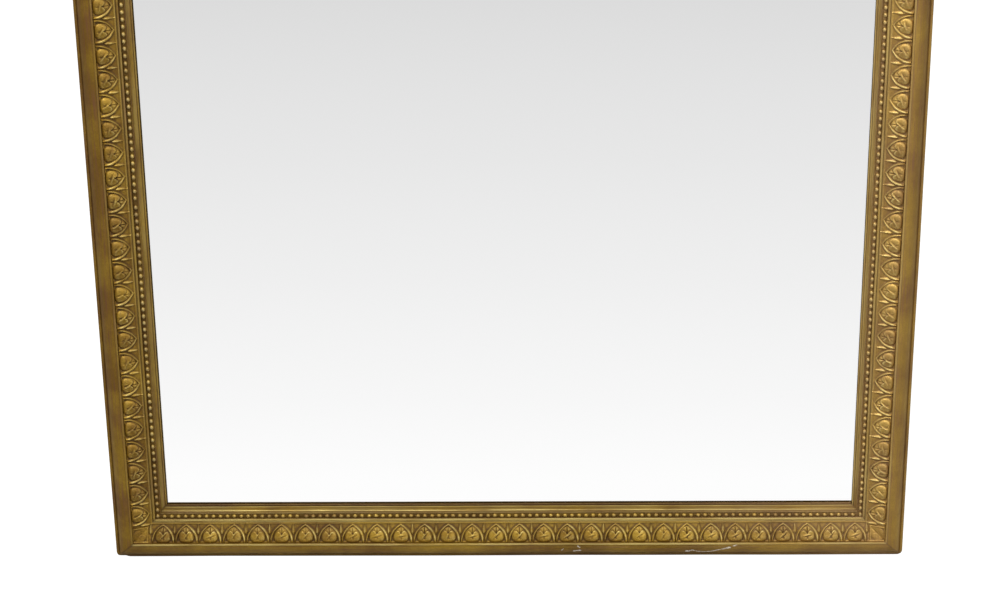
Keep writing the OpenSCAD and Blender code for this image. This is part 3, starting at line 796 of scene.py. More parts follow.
def pearl():
    """Points and faces of a bead about its own middle, half its length being 1: a
    little more than half a flattened ball, in rings closed by a crown and a base."""
    polar = np.radians(BEAD_RINGS)
    ring = np.arange(BEAD_SIDES)
    around = ring * 2 * np.pi / BEAD_SIDES
    ball = np.stack(
        [
            np.outer(np.sin(polar), np.cos(around)),
            np.outer(np.sin(polar), np.sin(around)),
            np.outer(np.cos(polar), np.ones(BEAD_SIDES)),
        ],
        -1,
    )
    ball = np.vstack([ball.reshape(-1, 3), [0, 0, 1]]) * BEAD_SHAPE
    nxt = (ring + 1) % BEAD_SIDES
    low = np.arange(len(polar) - 1)[:, None] * BEAD_SIDES
    high = low + BEAD_SIDES
    quads = np.stack([low + ring, low + nxt, high + nxt, high + ring], -1).reshape(-1, 4)
    last = (len(polar) - 1) * BEAD_SIDES
    tris = np.stack([last + ring, last + nxt, np.full(BEAD_SIDES, len(ball) - 1)], -1)
    return ball, (quads, tris, ring[::-1][None])


def bead_strip(side, sizes):
    """A thin ground with a row of pearls, each a little different from the next."""
    level = side in ("bottom", "top")
    half_w = (U_RIM - U_BEAD - STRIP_GAP) / 2
    half = run_length(side) / 2 - U_BEAD_MID + (-half_w if level else half_w)
    low, high = H_CHANNEL, H_CHANNEL + BEAD_GROUND
    section = soften(
        [
            (U_BEAD_MID - half_w, low, 0),
            (U_BEAD_MID - half_w, high, 0.3),
            (U_BEAD_MID + half_w, high, 0.3),
            (U_BEAD_MID + half_w, low, 0),
        ],
        steps=2,
    )
    x = np.linspace(-half, half, round(2 * half / SWEEP_STEP) + 1)[:, None] + 0 * section[:, 0]
    ground = place(side, x, section[:, 0] + 0 * x, section[:, 1] + 0 * x)

    rng = np.random.default_rng(SEEDS[side] + 2)
    spots = bead_places(side)
    ball, shapes = pearl()
    size = 1 - sizes.bead_jitter * rng.uniform(0, 1, (len(spots), 3))
    local = ball * size[:, None] * sizes.bead_size / MM / 2
    shift = rng.uniform(-1, 1, (len(spots), 2)) * BEAD_STRAY
    bead_x = spots[:, None] + shift[:, :1] + local[..., 0]
    bead_u = U_BEAD_MID + BEAD_OFF[side] + shift[:, 1:] * 0.8 + local[..., 1]
    bead_h = high + BEAD_LIFT * BEAD_D + local[..., 2]
    beads = place(side, bead_x, bead_u, bead_h)

    faces = ring_faces(*x.shape)
    bead_at = x.size + np.arange(len(spots))[:, None, None] * len(ball)
    faces += [(bead_at + shape).reshape(-1, shape.shape[1]) for shape in shapes]
    counts = [BEAD_SIDES] * len(BEAD_RINGS) + [1]
    sunk = np.tile(np.repeat(BEAD_SHADE_AND_DIRT, counts), len(spots))
    crest = np.tile(BEAD_POLISH_AND_LIGHT[side] * np.repeat(BEAD_SHINE, counts), len(spots))
    flat = np.zeros(x.size)
    strip_run = np.stack([x, 0 * x, 0 * x], -1).reshape(-1, 3)
    bead_run = np.stack([bead_x, bead_u, bead_h], -1).reshape(-1, 3)
    values = {
        # The ground and the beads' lower rings are painted dark as shade and dirt; the crowns get
        # painted highlight and wear, paled a little
        "hollow": np.concatenate([flat + 0.75, sunk]),
        "rub_and_highlight": np.concatenate([flat, crest]),
        "bare": np.concatenate([flat, crest / 6]),
        "run": np.concatenate([strip_run, bead_run]) * MM,
    }
    points = np.concatenate([ground.reshape(-1, 3), beads.reshape(-1, 3)])
    return build("gilt_bead_strip_" + side, points, faces, values, crease=60)


# ---- Hanger rings -------------------------------------------------------------

PIN_Y, PIN_Z, PIN_X = 27.335, 1215.0, 513.5
RING_WIRE, RING_R, RING_LEG, RING_BEND = 4.0, 12.5, 10.0, 2.2


def hanger_ring(hand):
    """A hand-bent D of wire: a pin, two legs and a half-round bow as one closed path,
    its two upper corners rounded, with a circle carried along it."""
    bow = np.linspace(0, np.pi, 25)
    bend = np.linspace(0, np.pi / 2, 6)
    leg = np.linspace(-4, -8, 3)
    inner = RING_R - RING_BEND
    path = np.concatenate(
        [
            np.stack([np.linspace(-inner, inner, 9)[1:-1], np.zeros(7)], 1),
            np.stack([inner + RING_BEND * np.sin(bend), RING_BEND * (np.cos(bend) - 1)], 1),
            np.stack([np.full(3, RING_R), leg], 1),
            np.stack([RING_R * np.cos(bow), -RING_LEG - RING_R * np.sin(bow)], 1),
            np.stack([np.full(3, -RING_R), leg[::-1]], 1),
            np.stack([-inner - RING_BEND * np.cos(bend), RING_BEND * (np.sin(bend) - 1)], 1),
        ]
    )
    tangent = np.roll(path, -1, axis=0) - np.roll(path, 1, axis=0)
    tangent /= np.linalg.norm(tangent, axis=1)[:, None]
    out = np.stack([-tangent[:, 1], tangent[:, 0]], 1)
    around = np.arange(16) * 2 * np.pi / 16
    radius = RING_WIRE / 2 - 0.02 + 0.03 * wander(np.arange(len(path)), 0, 9, 40)[:, None]
    flat = radius * np.cos(around)
    points = np.stack(
        [
            path[:, :1] + out[:, :1] * flat + (-1 if hand == "left" else 1) * PIN_X,
            PIN_Y - radius * np.sin(around),
            path[:, 1:] + out[:, 1:] * flat + PIN_Z,
        ],
        -1,
    )
    faces = ring_faces(*points.shape[:2], closed=True)
    return build("iron_ring_" + hand, points * MM, faces, crease=60)


# ---- Finishes -----------------------------------------------------------------

# The sockets of a colour Mix: how much of the second colour, and the two colours
SHARE, UNDER, OVER = 0, 6, 7
# Colours that a user has no need to change
WASH = "#8a6a3c"
SILVER = "#fdfdfd"
REBATE_REFLECTION = "#4b3c20"
TARNISH = "#6a5226"
RUST = "#4d3323"
FLOOR_GREY = "#c0c0c0"
WHITE = linear("#ffffff")


def add(tree, kind, feeds=None, stops=None, **settings):
    """Adds one shader node. feeds maps a socket's name or number to a value, to another
    node's output, or to a node, which stands for its first output that is in use. stops
    fills a colour ramp with (place, colour)."""
    made = tree.nodes.new("ShaderNode" + kind)
    for key, value in settings.items():
        setattr(made, key, value)
    if stops:
        elements = made.color_ramp.elements
        elements[0].position, elements[0].color = stops[0]
        elements[-1].position, elements[-1].color = stops[-1]
        for spot, colour in stops[1:-1]:
            elements.new(spot).color = colour
    for socket, value in (feeds or {}).items():
        if isinstance(value, bpy.types.Node):
            value = next(output for output in value.outputs if output.enabled)
        if isinstance(value, bpy.types.NodeSocket):
            tree.links.new(value, made.inputs[socket])
        else:
            made.inputs[socket].default_value = value
    return made


def blank(name):
    """A new material and its empty node tree."""
    material = bpy.data.materials.new(name)
    material.use_nodes = True
    material.node_tree.nodes.clear()
    return material, material.node_tree


def grain_size(size_mm):
    """Scale of a noise whose features are size_mm across, on coordinates in metres."""
    return 1 / (size_mm * MM)


def rgba(colour):
    """A property's colour as the four numbers that a socket takes."""
    return (*colour, 1.0)


def gilding(name, finishes, patch_mm, streak, dulled):
    """Old gold leaf on bole and gesso. It is a soft-sheened metal under a thin coat of
    size, brown where it is toned, darker in the hollows with dirt and painted shade,
    bright at its edges with wear and painted highlight, and red-brown where rubbing
    has reached the clay."""
    material, tree = blank(name)
    place_in = add(tree, "TexCoord").outputs["Object"]
    across = add(tree, "SeparateXYZ", {0: place_in}).outputs["X"]
    run = add(tree, "Attribute", attribute_name="run").outputs["Vector"]
    hollow, rub_and_highlight, bare = (
        add(tree, "Attribute", attribute_name=label).outputs["Fac"]
        for label in ("hollow", "rub_and_highlight", "bare")
    )

    # Toning lies in clouds a few centimetres across, and the left side is made browner still
    clouds = add(
        tree, "TexNoise",
        {"Vector": place_in, "Scale": grain_size(patch_mm), "Detail": 5.0, "Roughness": 0.62},
    )
    toned = add(tree, "MapRange", {"Value": clouds, "From Min": 0.36, "From Max": 0.66})
    browner_left = add(
        tree, "MapRange", {"Value": across, "From Min": -0.35, "From Max": -0.5, "To Max": 0.2}
    )
    toned = add(tree, "Math", {0: toned, 1: browner_left}, operation="ADD", use_clamp=True)
    # Specks of dust and pinholes in the leaf, about a millimetre and a half
    specks = add(
        tree, "TexNoise",
        {"Vector": place_in, "Scale": grain_size(1.6), "Detail": 3.0, "Roughness": 0.7},
    )
    speck = add(
        tree, "MapRange",
        {"Value": specks, "From Min": 0.30, "From Max": 0.72, "To Min": 0.78, "To Max": 1.15},
    )
    # Rubbing runs along the moulding in streaks 60 mm long and 2.5 mm wide, and it
    # keeps to the toned patches
    stretch = (grain_size(60), grain_size(2.5), 1.0)
    stretched = add(tree, "Mapping", {"Vector": run, "Scale": stretch})
    streaks = add(
        tree, "TexNoise", {"Vector": stretched, "Scale": 1.0, "Detail": 4.0, "Roughness": 0.6}
    )
    rubbed = add(
        tree, "MapRange",
        {"Value": streaks, "From Min": 0.50 - streak, "From Max": 0.74 - streak, "To Max": 0.8},
    )
    in_patch = add(tree, "Math", {0: toned, 1: 0.9, 2: 0.3}, operation="MULTIPLY_ADD")
    rubbed = add(tree, "Math", {0: rubbed, 1: in_patch}, operation="MULTIPLY", use_clamp=True)
    # Painted highlight and wear on the edges come and go over about 80 mm
    lengthwise = add(
        tree, "Mapping", {"Vector": run, "Scale": (grain_size(80), grain_size(9), 1.0)}
    )
    come_and_go = add(tree, "TexNoise", {"Vector": lengthwise, "Scale": 1.0, "Detail": 3.0})
    worn = add(
        tree, "MapRange",
        {"Value": come_and_go, "From Min": 0.36, "From Max": 0.6, "To Min": 0.35, "To Max": 1.15},
    )
    shine = add(tree, "Math", {0: rub_and_highlight, 1: worn}, operation="MULTIPLY", use_clamp=True)
    # Painted shade and dirt lie unevenly in the hollows
    patchy_shade = add(tree, "Math", {0: specks, 1: 0.5, 2: 0.55}, operation="MULTIPLY_ADD")
    dirt_and_shade = add(tree, "Math", {0: hollow, 1: patchy_shade}, operation="MULTIPLY", use_clamp=True)
    # A pale haze lies on the right side, less of it on the smooth ovolo: dust, and painted light
    # that makes that side brighter
    haze_and_light = add(
        tree, "MapRange", {"Value": across, "From Min": 0.2, "From Max": 0.53, "To Max": 0.24}
    )
    thinner = add(
        tree, "MapRange",
        {"Value": across, "From Min": 0.51, "From Max": 0.513, "To Min": 1.0, "To Max": 0.55},
    )
    haze_and_light = add(tree, "Math", {0: haze_and_light, 1: thinner}, operation="MULTIPLY")

    colour = add(
        tree, "Mix",
        {SHARE: toned, UNDER: rgba(finishes.gold), OVER: rgba(finishes.toned_gold)},
        data_type="RGBA",
    )
    colour = add(
        tree, "Mix", {SHARE: 1.0, UNDER: colour, OVER: speck},
        data_type="RGBA", blend_type="MULTIPLY",
    )
    # Layered on: bole, painted highlight and wear, painted shade and dirt, dust and painted light,
    # gesso
    for share, layer in (
        (rubbed, finishes.bole),
        (shine, finishes.burnished_highlight),
        (dirt_and_shade, finishes.hollow),
        (haze_and_light, finishes.dust),
        (bare, finishes.gesso),
    ):
        colour = add(
            tree, "Mix", {SHARE: share, UNDER: colour, OVER: rgba(layer)}, data_type="RGBA"
        )

    lost = add(tree, "Math", {0: dirt_and_shade, 1: rubbed}, operation="MAXIMUM")
    lost = add(tree, "Math", {0: lost, 1: bare}, operation="MAXIMUM")
    metal = add(tree, "MapRange", {"Value": lost, "To Min": 0.72, "To Max": 0.08})
    rough = add(tree, "Math", {0: toned, 1: 0.10, 2: dulled}, operation="MULTIPLY_ADD")
    rough = add(
        tree, "Math", {0: lost, 1: 0.28, 2: rough}, operation="MULTIPLY_ADD", use_clamp=True
    )
    bump = add(tree, "Bump", {"Strength": 0.35, "Distance": 0.0004, "Height": specks})
    bump = add(
        tree, "Bump", {"Strength": 0.25, "Distance": 0.0006, "Height": streaks, "Normal": bump}
    )
    shader = add(
        tree, "BsdfPrincipled",
        {
            "Base Color": colour, "Metallic": metal, "Roughness": rough, "Normal": bump,
            "Coat Weight": 0.05, "Coat Roughness": 0.35,
        },
    )
    add(tree, "OutputMaterial", {0: shader})
    return material


def softwood(name, pale, along, washed=None):
    """Sawn softwood: growth rings about 4 mm apart run along the board, crossed by the
    faint marks of the saw. washed is a thin ochre size on the frame's outer sides."""
    material, tree = blank(name)
    place_in = add(tree, "TexCoord").outputs["Object"]
    stretch = [grain_size(4.0)] * 3
    stretch["xyz".index(along)] = grain_size(160.0)
    grain_space = add(tree, "Mapping", {"Vector": place_in, "Scale": stretch})
    grain = add(
        tree, "TexNoise",
        {"Vector": grain_space, "Scale": 1.0, "Detail": 5.0, "Roughness": 0.65, "Distortion": 0.4},
    )
    saw_stretch = [1.0] * 3
    saw_stretch["xyz".index(along)] = grain_size(3.2)
    saw_space = add(tree, "Mapping", {"Vector": place_in, "Scale": saw_stretch})
    saw = add(tree, "TexNoise", {"Vector": saw_space, "Scale": 1.0, "Detail": 2.0})
    stain = add(tree, "TexNoise", {"Vector": place_in, "Scale": grain_size(120.0), "Detail": 4.0})

    dark = tuple(0.42 * c for c in pale) + (1.0,)
    ring = add(tree, "MapRange", {"Value": grain, "From Min": 0.4, "From Max": 0.72})
    colour = add(
        tree, "Mix", {SHARE: ring, UNDER: rgba(pale), OVER: dark}, data_type="RGBA"
    )
    age = add(
        tree, "MapRange",
        {"Value": stain, "From Min": 0.3, "From Max": 0.7, "To Min": 0.68, "To Max": 1.1},
    )
    colour = add(
        tree, "Mix", {SHARE: 1.0, UNDER: colour, OVER: age},
        data_type="RGBA", blend_type="MULTIPLY",
    )
    if washed:
        # It lies where a point is within 0.3 mm of the frame's sides, foot or top
        apart = add(tree, "SeparateXYZ", {0: place_in}).outputs
        outer = []
        for axis, middle, half in (("X", 0.0, WIDTH / 2), ("Z", HEIGHT / 2, HEIGHT / 2)):
            off = add(tree, "Math", {0: apart[axis], 1: middle * MM}, operation="SUBTRACT")
            off = add(tree, "Math", {0: off}, operation="ABSOLUTE")
            outer.append(
                add(tree, "Math", {0: off, 1: (half - 0.3) * MM}, operation="GREATER_THAN")
            )
        outside = add(tree, "Math", {0: outer[0], 1: outer[1]}, operation="MAXIMUM")
        cover = add(
            tree, "MapRange",
            {"Value": stain, "From Min": 0.25, "From Max": 0.6, "To Min": 0.55, "To Max": 0.95},
        )
        cover = add(tree, "Math", {0: outside, 1: cover}, operation="MULTIPLY")
        colour = add(
            tree, "Mix", {SHARE: cover, UNDER: colour, OVER: washed}, data_type="RGBA"
        )
    height = add(tree, "Math", {0: grain, 1: saw}, operation="ADD")
    bump = add(tree, "Bump", {"Strength": 0.4, "Distance": 0.0005, "Height": height})
    rough = add(tree, "MapRange", {"Value": grain, "To Min": 0.7, "To Max": 0.9})
    shader = add(
        tree, "BsdfPrincipled", {"Base Color": colour, "Roughness": rough, "Normal": bump}
    )
    add(tree, "OutputMaterial", {0: shader})
    return material


# How wide the painted reflection of the rebate, a dark line, shows in the plate beside each slip,
# in mm
REBATE_REFLECTION_LINE = {"left": 1.7, "right": 0.8, "bottom": 2.4}


def silvered_plate():
    """Old silvered plate glass seen as its silver: bright and almost without colour.
    The silver lies behind the plate's thickness, so the shadowed rebate would show in it
    along the slips: that dark line is painted on, a painted reflection, widest at the
    bottom, where the eye looks down into it."""
    material, tree = blank("silvered_plate_glass")
    place_in = add(tree, "TexCoord").outputs["Object"]
    apart = add(tree, "SeparateXYZ", {0: place_in}).outputs
    inner = {side: U_SIGHT + SLIP_MORE[side] + line for side, line in REBATE_REFLECTION_LINE.items()}
    dark = 0.0
    for axis, limit, beyond in (
        ("X", inner["left"] - WIDTH / 2, "LESS_THAN"),
        ("X", WIDTH / 2 - inner["right"], "GREATER_THAN"),
        ("Z", inner["bottom"], "LESS_THAN"),
    ):
        line = add(tree, "Math", {0: apart[axis], 1: limit * MM}, operation=beyond)
        dark = add(tree, "Math", {0: dark, 1: line}, operation="MAXIMUM")
    colour = add(
        tree, "Mix", {SHARE: dark, UNDER: linear(SILVER), OVER: linear(REBATE_REFLECTION)}, data_type="RGBA"
    )
    shader = add(
        tree, "BsdfPrincipled", {"Base Color": colour, "Metallic": 1.0, "Roughness": 0.0}
    )
    add(tree, "OutputMaterial", {0: shader})
    return material


def old_metal(name, bright, dull, rough, blotch_mm):
    """Handled metal: bright where it is rubbed, dull and rougher in the blotches of
    tarnish or rust."""
    material, tree = blank(name)
    place_in = add(tree, "TexCoord").outputs["Object"]
    blotches = add(
        tree, "TexNoise",
        {"Vector": place_in, "Scale": grain_size(blotch_mm), "Detail": 6.0, "Roughness": 0.65},
    )
    fine = add(tree, "TexNoise", {"Vector": place_in, "Scale": grain_size(0.7), "Detail": 2.0})
    tarnish = add(tree, "MapRange", {"Value": blotches, "From Min": 0.38, "From Max": 0.64})
    colour = add(
        tree, "Mix", {SHARE: tarnish, UNDER: bright, OVER: dull}, data_type="RGBA"
    )
    metal = add(tree, "MapRange", {"Value": tarnish, "To Min": 1.0, "To Max": 0.45})
    roughness = add(tree, "MapRange", {"Value": tarnish, "To Min": rough, "To Max": rough + 0.3})
    bump = add(tree, "Bump", {"Strength": 0.3, "Distance": 0.0002, "Height": fine})
    shader = add(
        tree, "BsdfPrincipled",
        {"Base Color": colour, "Metallic": metal, "Roughness": roughness, "Normal": bump},
    )
    add(tree, "OutputMaterial", {0: shader})
    return material


def finish(key, make, *details):
    """The finish of that name, made the first time it is asked for."""
    return bpy.data.materials.get(key) or make(key, *details)


def moulding_gold(finishes):
    """Leaf laid on planed and polished gesso, rubbed in long streaks by dusting."""
    return finish("gold_leaf_on_gesso", gilding, finishes, 75.0, 0.04, 0.42)


def ornament_gold(finishes):
    """The same leaf on pressed composition, where it lies less smooth."""
    return finish("gold_leaf_on_composition", gilding, finishes, 45.0, -0.06, 0.46)


def wrought_iron(finishes):
    """Drawn iron that has rusted a little where the hand doesn't reach."""
    return finish("wrought_iron", old_metal, rgba(finishes.iron), linear(RUST), 0.42, 7.0)


# ---- Pieces -------------------------------------------------------------------

# Gesso chips and the long scratch on the bottom ovolo: paths of (x, u), half width
CHIPS = (
    (((88.5, 12.2), (98.0, 13.2)), 0.85),
    (((93.8, 21.6), (97.2, 18.0)), 0.55),
    (((71.9, 13.2), (75.2, 17.0)), 0.5),
    (((240.5, 11.2), (244.5, 11.6)), 1.3),
    (((244.5, 11.6), (249.0, 13.6), (256.0, 10.8), (263.0, 9.6)), 0.6),
    (((263.0, 9.6), (273.0, 10.4), (283.0, 13.6), (296.7, 17.8)), 0.7),
    (((296.7, 17.8), (299.0, 18.6)), 1.1),
    (((304.6, 20.2), (306.8, 21.4)), 0.9),
)
CHIP_STRETCHES = ((70.0, 100.0, 0.6), (237.0, 310.0, 0.6))
# The backboards, and the shades that their wood comes in
BOARD_COUNT = 7
BOARD_SHADES = {"mid": 1.0, "pale": 1.16, "dark": 0.84}


class PIERMIRROR_OT_outer_mouldings(bpy.types.Operator):
    """Sweep the flat, quirk, ovolo and ridge round the frame"""

    bl_idname = "pier_mirror.outer_mouldings"
    bl_label = "Outer mouldings"

    def execute(self, context):
        sizes = context.scene.pier_mirror_sizes
        material = moulding_gold(context.scene.pier_mirror_finishes)
        for side in SIDES:
            chipped = side == "bottom"
            piece = swept(
                "gilt_outer_moulding_" + side, side, outer_section(), OUTER_STEP, sizes.waver / MM,
                dull=OUTER_DULL.get(side, ((-9, EDGE_W, 0.45),)),
                fine=CHIP_STRETCHES if chipped else (),
                corner_wear=sizes.corner_wear / MM,
                chips=CHIPS if chipped else (),
            )
            dress(piece, "frame", "gilt_wood", material, "outer_moulding_" + side)
        return {"FINISHED"}


class PIERMIRROR_OT_bed_mouldings(bpy.types.Operator):
    """Sweep the leaves' seat, the lip, the bead channel and the rim"""

    bl_idname = "pier_mirror.bed_mouldings"
    bl_label = "Bed mouldings"

    def execute(self, context):
        sizes = context.scene.pier_mirror_sizes
        material = moulding_gold(context.scene.pier_mirror_finishes)
        for side in SIDES:
            piece = swept(
                "gilt_bed_moulding_" + side, side, bed_section(), SWEEP_STEP, sizes.waver / MM,
                dull=BED_DULL.get(side, ((U_BEAD - 0.2, U_WALL + 0.1, 1.0),)),
                sheen=BED_SHEEN,
            )
            dress(piece, "frame", "gilt_wood", material, "bed_moulding_" + side)
        return {"FINISHED"}


class PIERMIRROR_OT_sight_slips(bpy.types.Operator):
    """Sweep the slips beside the glass"""

    bl_idname = "pier_mirror.sight_slips"
    bl_label = "Sight slips"

    def execute(self, context):
        sizes = context.scene.pier_mirror_sizes
        material = moulding_gold(context.scene.pier_mirror_finishes)
        for side in SIDES:
            section = slip_section(SLIP_MORE[side])
            piece = swept(
                "gilt_sight_slip_" + side, side, section, SWEEP_STEP, sizes.waver / MM,
                dull=SLIP_DULL.get(side, ()), sheen=SLIP_POLISH_AND_LIGHT[side],
            )
            dress(piece, "frame", "gilt_wood", material, "sight_slip_" + side)
        return {"FINISHED"}


class PIERMIRROR_OT_leaf_strips(bpy.types.Operator):
    """Press the four leaf and dart strips"""

    bl_idname = "pier_mirror.leaf_strips"
    bl_label = "Leaf and dart strips"

    def execute(self, context):
        sizes = context.scene.pier_mirror_sizes
        material = ornament_gold(context.scene.pier_mirror_finishes)
        for side in SIDES:
            piece = leaf_strip(side, sizes)
            dress(piece, "frame", "gilt_composition", material, "leaf_strip_" + side)
        return {"FINISHED"}


class PIERMIRROR_OT_corner_leaves(bpy.types.Operator):
    """Press the leaf that folds round each corner"""

    bl_idname = "pier_mirror.corner_leaves"
    bl_label = "Corner leaves"

    def execute(self, context):
        sizes = context.scene.pier_mirror_sizes
        material = ornament_gold(context.scene.pier_mirror_finishes)
        for corner in CORNERS:
            piece = corner_leaf(corner, sizes)
            dress(piece, "frame", "gilt_composition", material, "corner_leaf_" + corner)
        return {"FINISHED"}


class PIERMIRROR_OT_bead_strips(bpy.types.Operator):
    """Press the four strips of beads"""

    bl_idname = "pier_mirror.bead_strips"
    bl_label = "Bead strips"

    def execute(self, context):
        sizes = context.scene.pier_mirror_sizes
        material = ornament_gold(context.scene.pier_mirror_finishes)
        for side in SIDES:
            piece = bead_strip(side, sizes)
            dress(piece, "frame", "gilt_composition", material, "bead_strip_" + side)
        return {"FINISHED"}


class PIERMIRROR_OT_hanger_rings(bpy.types.Operator):
    """Bend the two rings that the mirror hangs by"""

    bl_idname = "pier_mirror.hanger_rings"
    bl_label = "Hanger rings"

    def execute(self, context):
        material = wrought_iron(context.scene.pier_mirror_finishes)
        for hand in HANDS:
            dress(hanger_ring(hand), hand + "_ring", "iron", material, "hanger_ring_" + hand)
        return {"FINISHED"}


class PIERMIRROR_OT_packed_pieces(bpy.types.Operator):
    """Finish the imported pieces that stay: plate, carcass, back and hangers"""

    bl_idname = "pier_mirror.packed_pieces"
    bl_label = "Plate, carcass and back"

    def execute(self, context):
        colours = context.scene.pier_mirror_finishes
        pine, old = tuple(colours.pine), tuple(colours.old_pine)
        boards = [
            finish("old_pine_board_" + shade, softwood, tuple(np.array(old) * share), "x")
            for shade, share in BOARD_SHADES.items()
        ]
        brass = finish("dulled_brass", old_metal, rgba(colours.brass), linear(TARNISH), 0.3, 9.0)
        finishes = {
            "rail_": finish("pine_carcass_level", softwood, pine, "x", linear(WASH)),
            "stile_": finish("pine_carcass_upright", softwood, pine, "z", linear(WASH)),
            "mitre_key_": boards[2],
            "mirror_glass": silvered_plate(),
            "glass_rests": boards[1],
            "glazing_blocks_": finish("old_pine_blocks", softwood, old, "z"),
            "backboard_nails": wrought_iron(colours),
            "hanger_strap_": brass,
            "hanger_screws_": brass,
        }
        for number in range(1, BOARD_COUNT + 1):
            finishes[f"backboard_{number}"] = boards[number % len(boards)]
        for name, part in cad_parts.items():
            for start, material in finishes.items():
                if name.startswith(start):
                    part.data.materials.clear()
                    part.data.materials.append(material)
        return {"FINISHED"}


# ---- Stage --------------------------------------------------------------------

# How far the floor reaches each way, and how far in front of the plate it is shaded
# in the reflection, in metres
FLOOR_REACH, SHADED_REACH = 7.0, 6.8
# That shade: a share of the way from its far end to the plate, and the grey there
FLOOR_GREYS = (
    (0.0, "#ffffff"), (0.49, "#dddddd"), (0.559, "#dddddd"), (0.754, "#e9e9e9"),
    (0.852, "#f1f1f1"), (0.927, "#f9f9f9"), (0.969, "#ffffff"),
)
# Where the camera stands, in metres, and how it is turned about X, Y and Z, in
# degrees: it looks down by 22 degrees from just right of the middle
CAMERA_AT = (0.0498, -2.89211, 1.52823)
CAMERA_TURN = (68.1474, 0.6224, 0.8842)
SENSOR = 36.0


def floor_finish(shade):
    """A matt grey studio floor. The camera sees most of it as plain white under a
    soft shadow, and the plate, the one sharp mirror, sees it darken to grey 3 m in
    front of it and grow pale again from there to the end of the room."""
    material, tree = blank("white_studio_floor")
    rays = add(tree, "LightPath").outputs
    matt = add(tree, "BsdfDiffuse", {"Color": linear(FLOOR_GREY)})
    white = add(tree, "Emission", {"Color": WHITE, "Strength": 1.45})
    seen = add(tree, "MixShader", {0: 1 - shade, 1: matt, 2: white})
    place_in = add(tree, "TexCoord").outputs["Object"]
    away = add(tree, "SeparateXYZ", {0: place_in}).outputs["Y"]
    t = add(tree, "MapRange", {"Value": away, "From Min": -SHADED_REACH, "From Max": 0.0})
    stops = [(spot, linear(grey)) for spot, grey in FLOOR_GREYS]
    greys = add(tree, "ValToRGB", {0: t}, stops)
    mirrored = add(tree, "Emission", {"Color": greys, "Strength": 1.0})
    shader = add(tree, "MixShader", {0: rays["Is Camera Ray"], 1: matt, 2: seen})
    shader = add(tree, "MixShader", {0: rays["Is Singular Ray"], 1: shader, 2: mirrored})
    add(tree, "OutputMaterial", {0: shader})
    return material


def pale_room(strength):
    """A white room to the camera, the gilding and the plate, which lights little."""
    world = bpy.data.worlds.new("pale_room")
    world.use_nodes = True
    tree = world.node_tree
    tree.nodes.clear()
    rays = add(tree, "LightPath").outputs
    seen = rays["Is Camera Ray"]
    for ray in ("Is Glossy Ray", "Is Transmission Ray"):
        seen = add(tree, "Math", {0: seen, 1: rays[ray]}, operation="MAXIMUM")
    glow = add(tree, "MapRange", {"Value": seen, "To Min": strength, "To Max": 1.0})
    room = add(tree, "Background", {"Color": WHITE, "Strength": glow})
    add(tree, "OutputWorld", {0: room})
    return world


def lamp(name, power, size, spot, aim):
    """A square area lamp at spot that faces aim."""
    light = bpy.data.lights.new(name, "AREA")
    light.energy, light.size = power, size
    made = bpy.data.objects.new(name, light)
    back = np.array(spot, float) - np.array(aim, float)
    back /= np.linalg.norm(back)
    right = np.cross((0, 0, 1), back)
    right /= np.linalg.norm(right)
    turned = Matrix(np.column_stack([right, np.cross(back, right), back]).tolist()).to_4x4()
    turned.translation = spot
    made.matrix_world = turned
    bpy.context.scene.collection.objects.link(made)


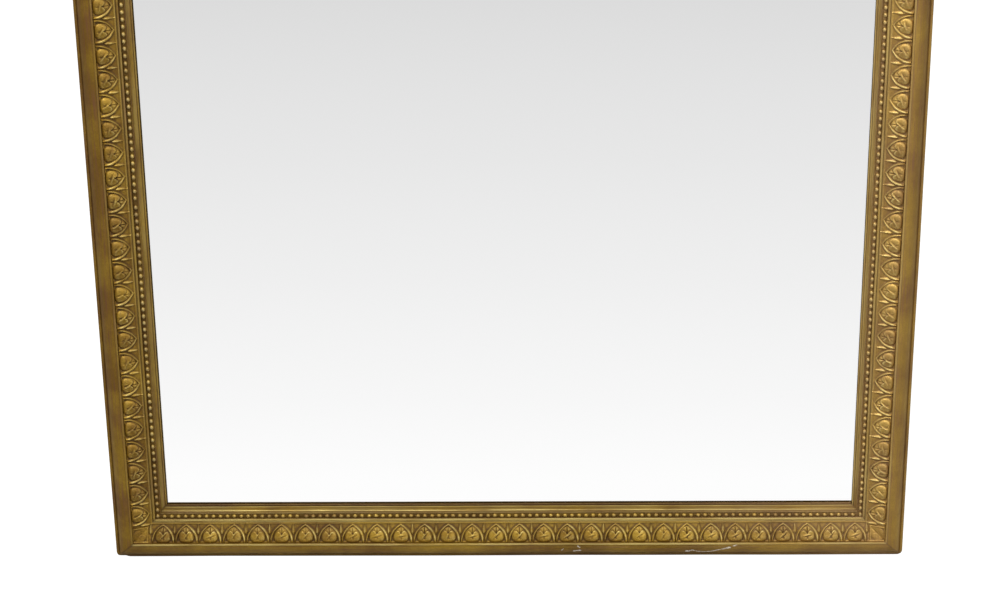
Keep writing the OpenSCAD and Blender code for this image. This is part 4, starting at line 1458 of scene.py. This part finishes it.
class PIERMIRROR_OT_stage(bpy.types.Operator):
    """Set up the floor, the room, three lamps and the camera"""

    bl_idname = "pier_mirror.stage"
    bl_label = "Stage"

    def execute(self, context):
        scene, setup = context.scene, context.scene.pier_mirror_stage
        corners = FLOOR_REACH * np.array([(-1, -1, 0), (1, -1, 0), (1, 1, 0), (-1, 1, 0)])
        floor = build("floor", corners, [np.arange(4)[None]])
        floor.data.materials.append(floor_finish(setup.floor_shade))
        scene.world = pale_room(setup.room_light)

        lamp("key", setup.key_power, 1.2, (-0.8, -1.6, 3.2), (0, 0, 0.6))
        lamp("fill", setup.fill_power, 1.2, (1.2, -2.3, 1.4), (0, 0, 0.6))
        lamp("behind", setup.back_power, 1.5, (0.9, 2.6, 2.2), (0, 0, 0.8))

        camera = bpy.data.cameras.new("camera")
        camera.lens, camera.sensor_width = setup.lens, SENSOR
        camera.dof.use_dof = False
        seen_from = bpy.data.objects.new("camera", camera)
        turned = Euler([math.radians(angle) for angle in CAMERA_TURN]).to_matrix().to_4x4()
        turned.translation = CAMERA_AT
        seen_from.matrix_world = turned
        scene.collection.objects.link(seen_from)
        scene.camera = seen_from
        scene.view_settings.view_transform = "Standard"
        return {"FINISHED"}


PIECES = (
    PIERMIRROR_OT_outer_mouldings,
    PIERMIRROR_OT_bed_mouldings,
    PIERMIRROR_OT_sight_slips,
    PIERMIRROR_OT_leaf_strips,
    PIERMIRROR_OT_corner_leaves,
    PIERMIRROR_OT_bead_strips,
    PIERMIRROR_OT_hanger_rings,
    PIERMIRROR_OT_packed_pieces,
    PIERMIRROR_OT_stage,
)


class PIERMIRROR_PT_sidebar(bpy.types.Panel):
    """Lists the sizes, the colours and the pieces"""

    bl_idname = "PIERMIRROR_PT_sidebar"
    bl_label = "Pier Mirror"
    bl_space_type = "VIEW_3D"
    bl_region_type = "UI"
    bl_category = "Pier Mirror"

    def draw(self, context):
        for label, group in (
            ("Sizes", context.scene.pier_mirror_sizes),
            ("Finishes", context.scene.pier_mirror_finishes),
            ("Stage", context.scene.pier_mirror_stage),
        ):
            box = self.layout.box()
            box.label(text=label)
            for key in group.__annotations__:
                box.prop(group, key)
        for piece in PIECES:
            self.layout.operator(piece.bl_idname)


GROUPS = {
    "pier_mirror_sizes": PierMirrorSizes,
    "pier_mirror_finishes": PierMirrorFinishes,
    "pier_mirror_stage": PierMirrorStage,
}


def register():
    for cls in (*GROUPS.values(), *PIECES, PIERMIRROR_PT_sidebar):
        bpy.utils.register_class(cls)
    for key, group in GROUPS.items():
        setattr(bpy.types.Scene, key, PointerProperty(type=group))


def unregister():
    for key in GROUPS:
        delattr(bpy.types.Scene, key)
    for cls in (PIERMIRROR_PT_sidebar, *reversed(PIECES), *GROUPS.values()):
        bpy.utils.unregister_class(cls)


def main():
    """Registers the classes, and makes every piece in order."""
    register()
    for piece in PIECES:
        family, step = piece.bl_idname.split(".")
        getattr(getattr(bpy.ops, family), step)()


if __name__ == "__main__":
    main()
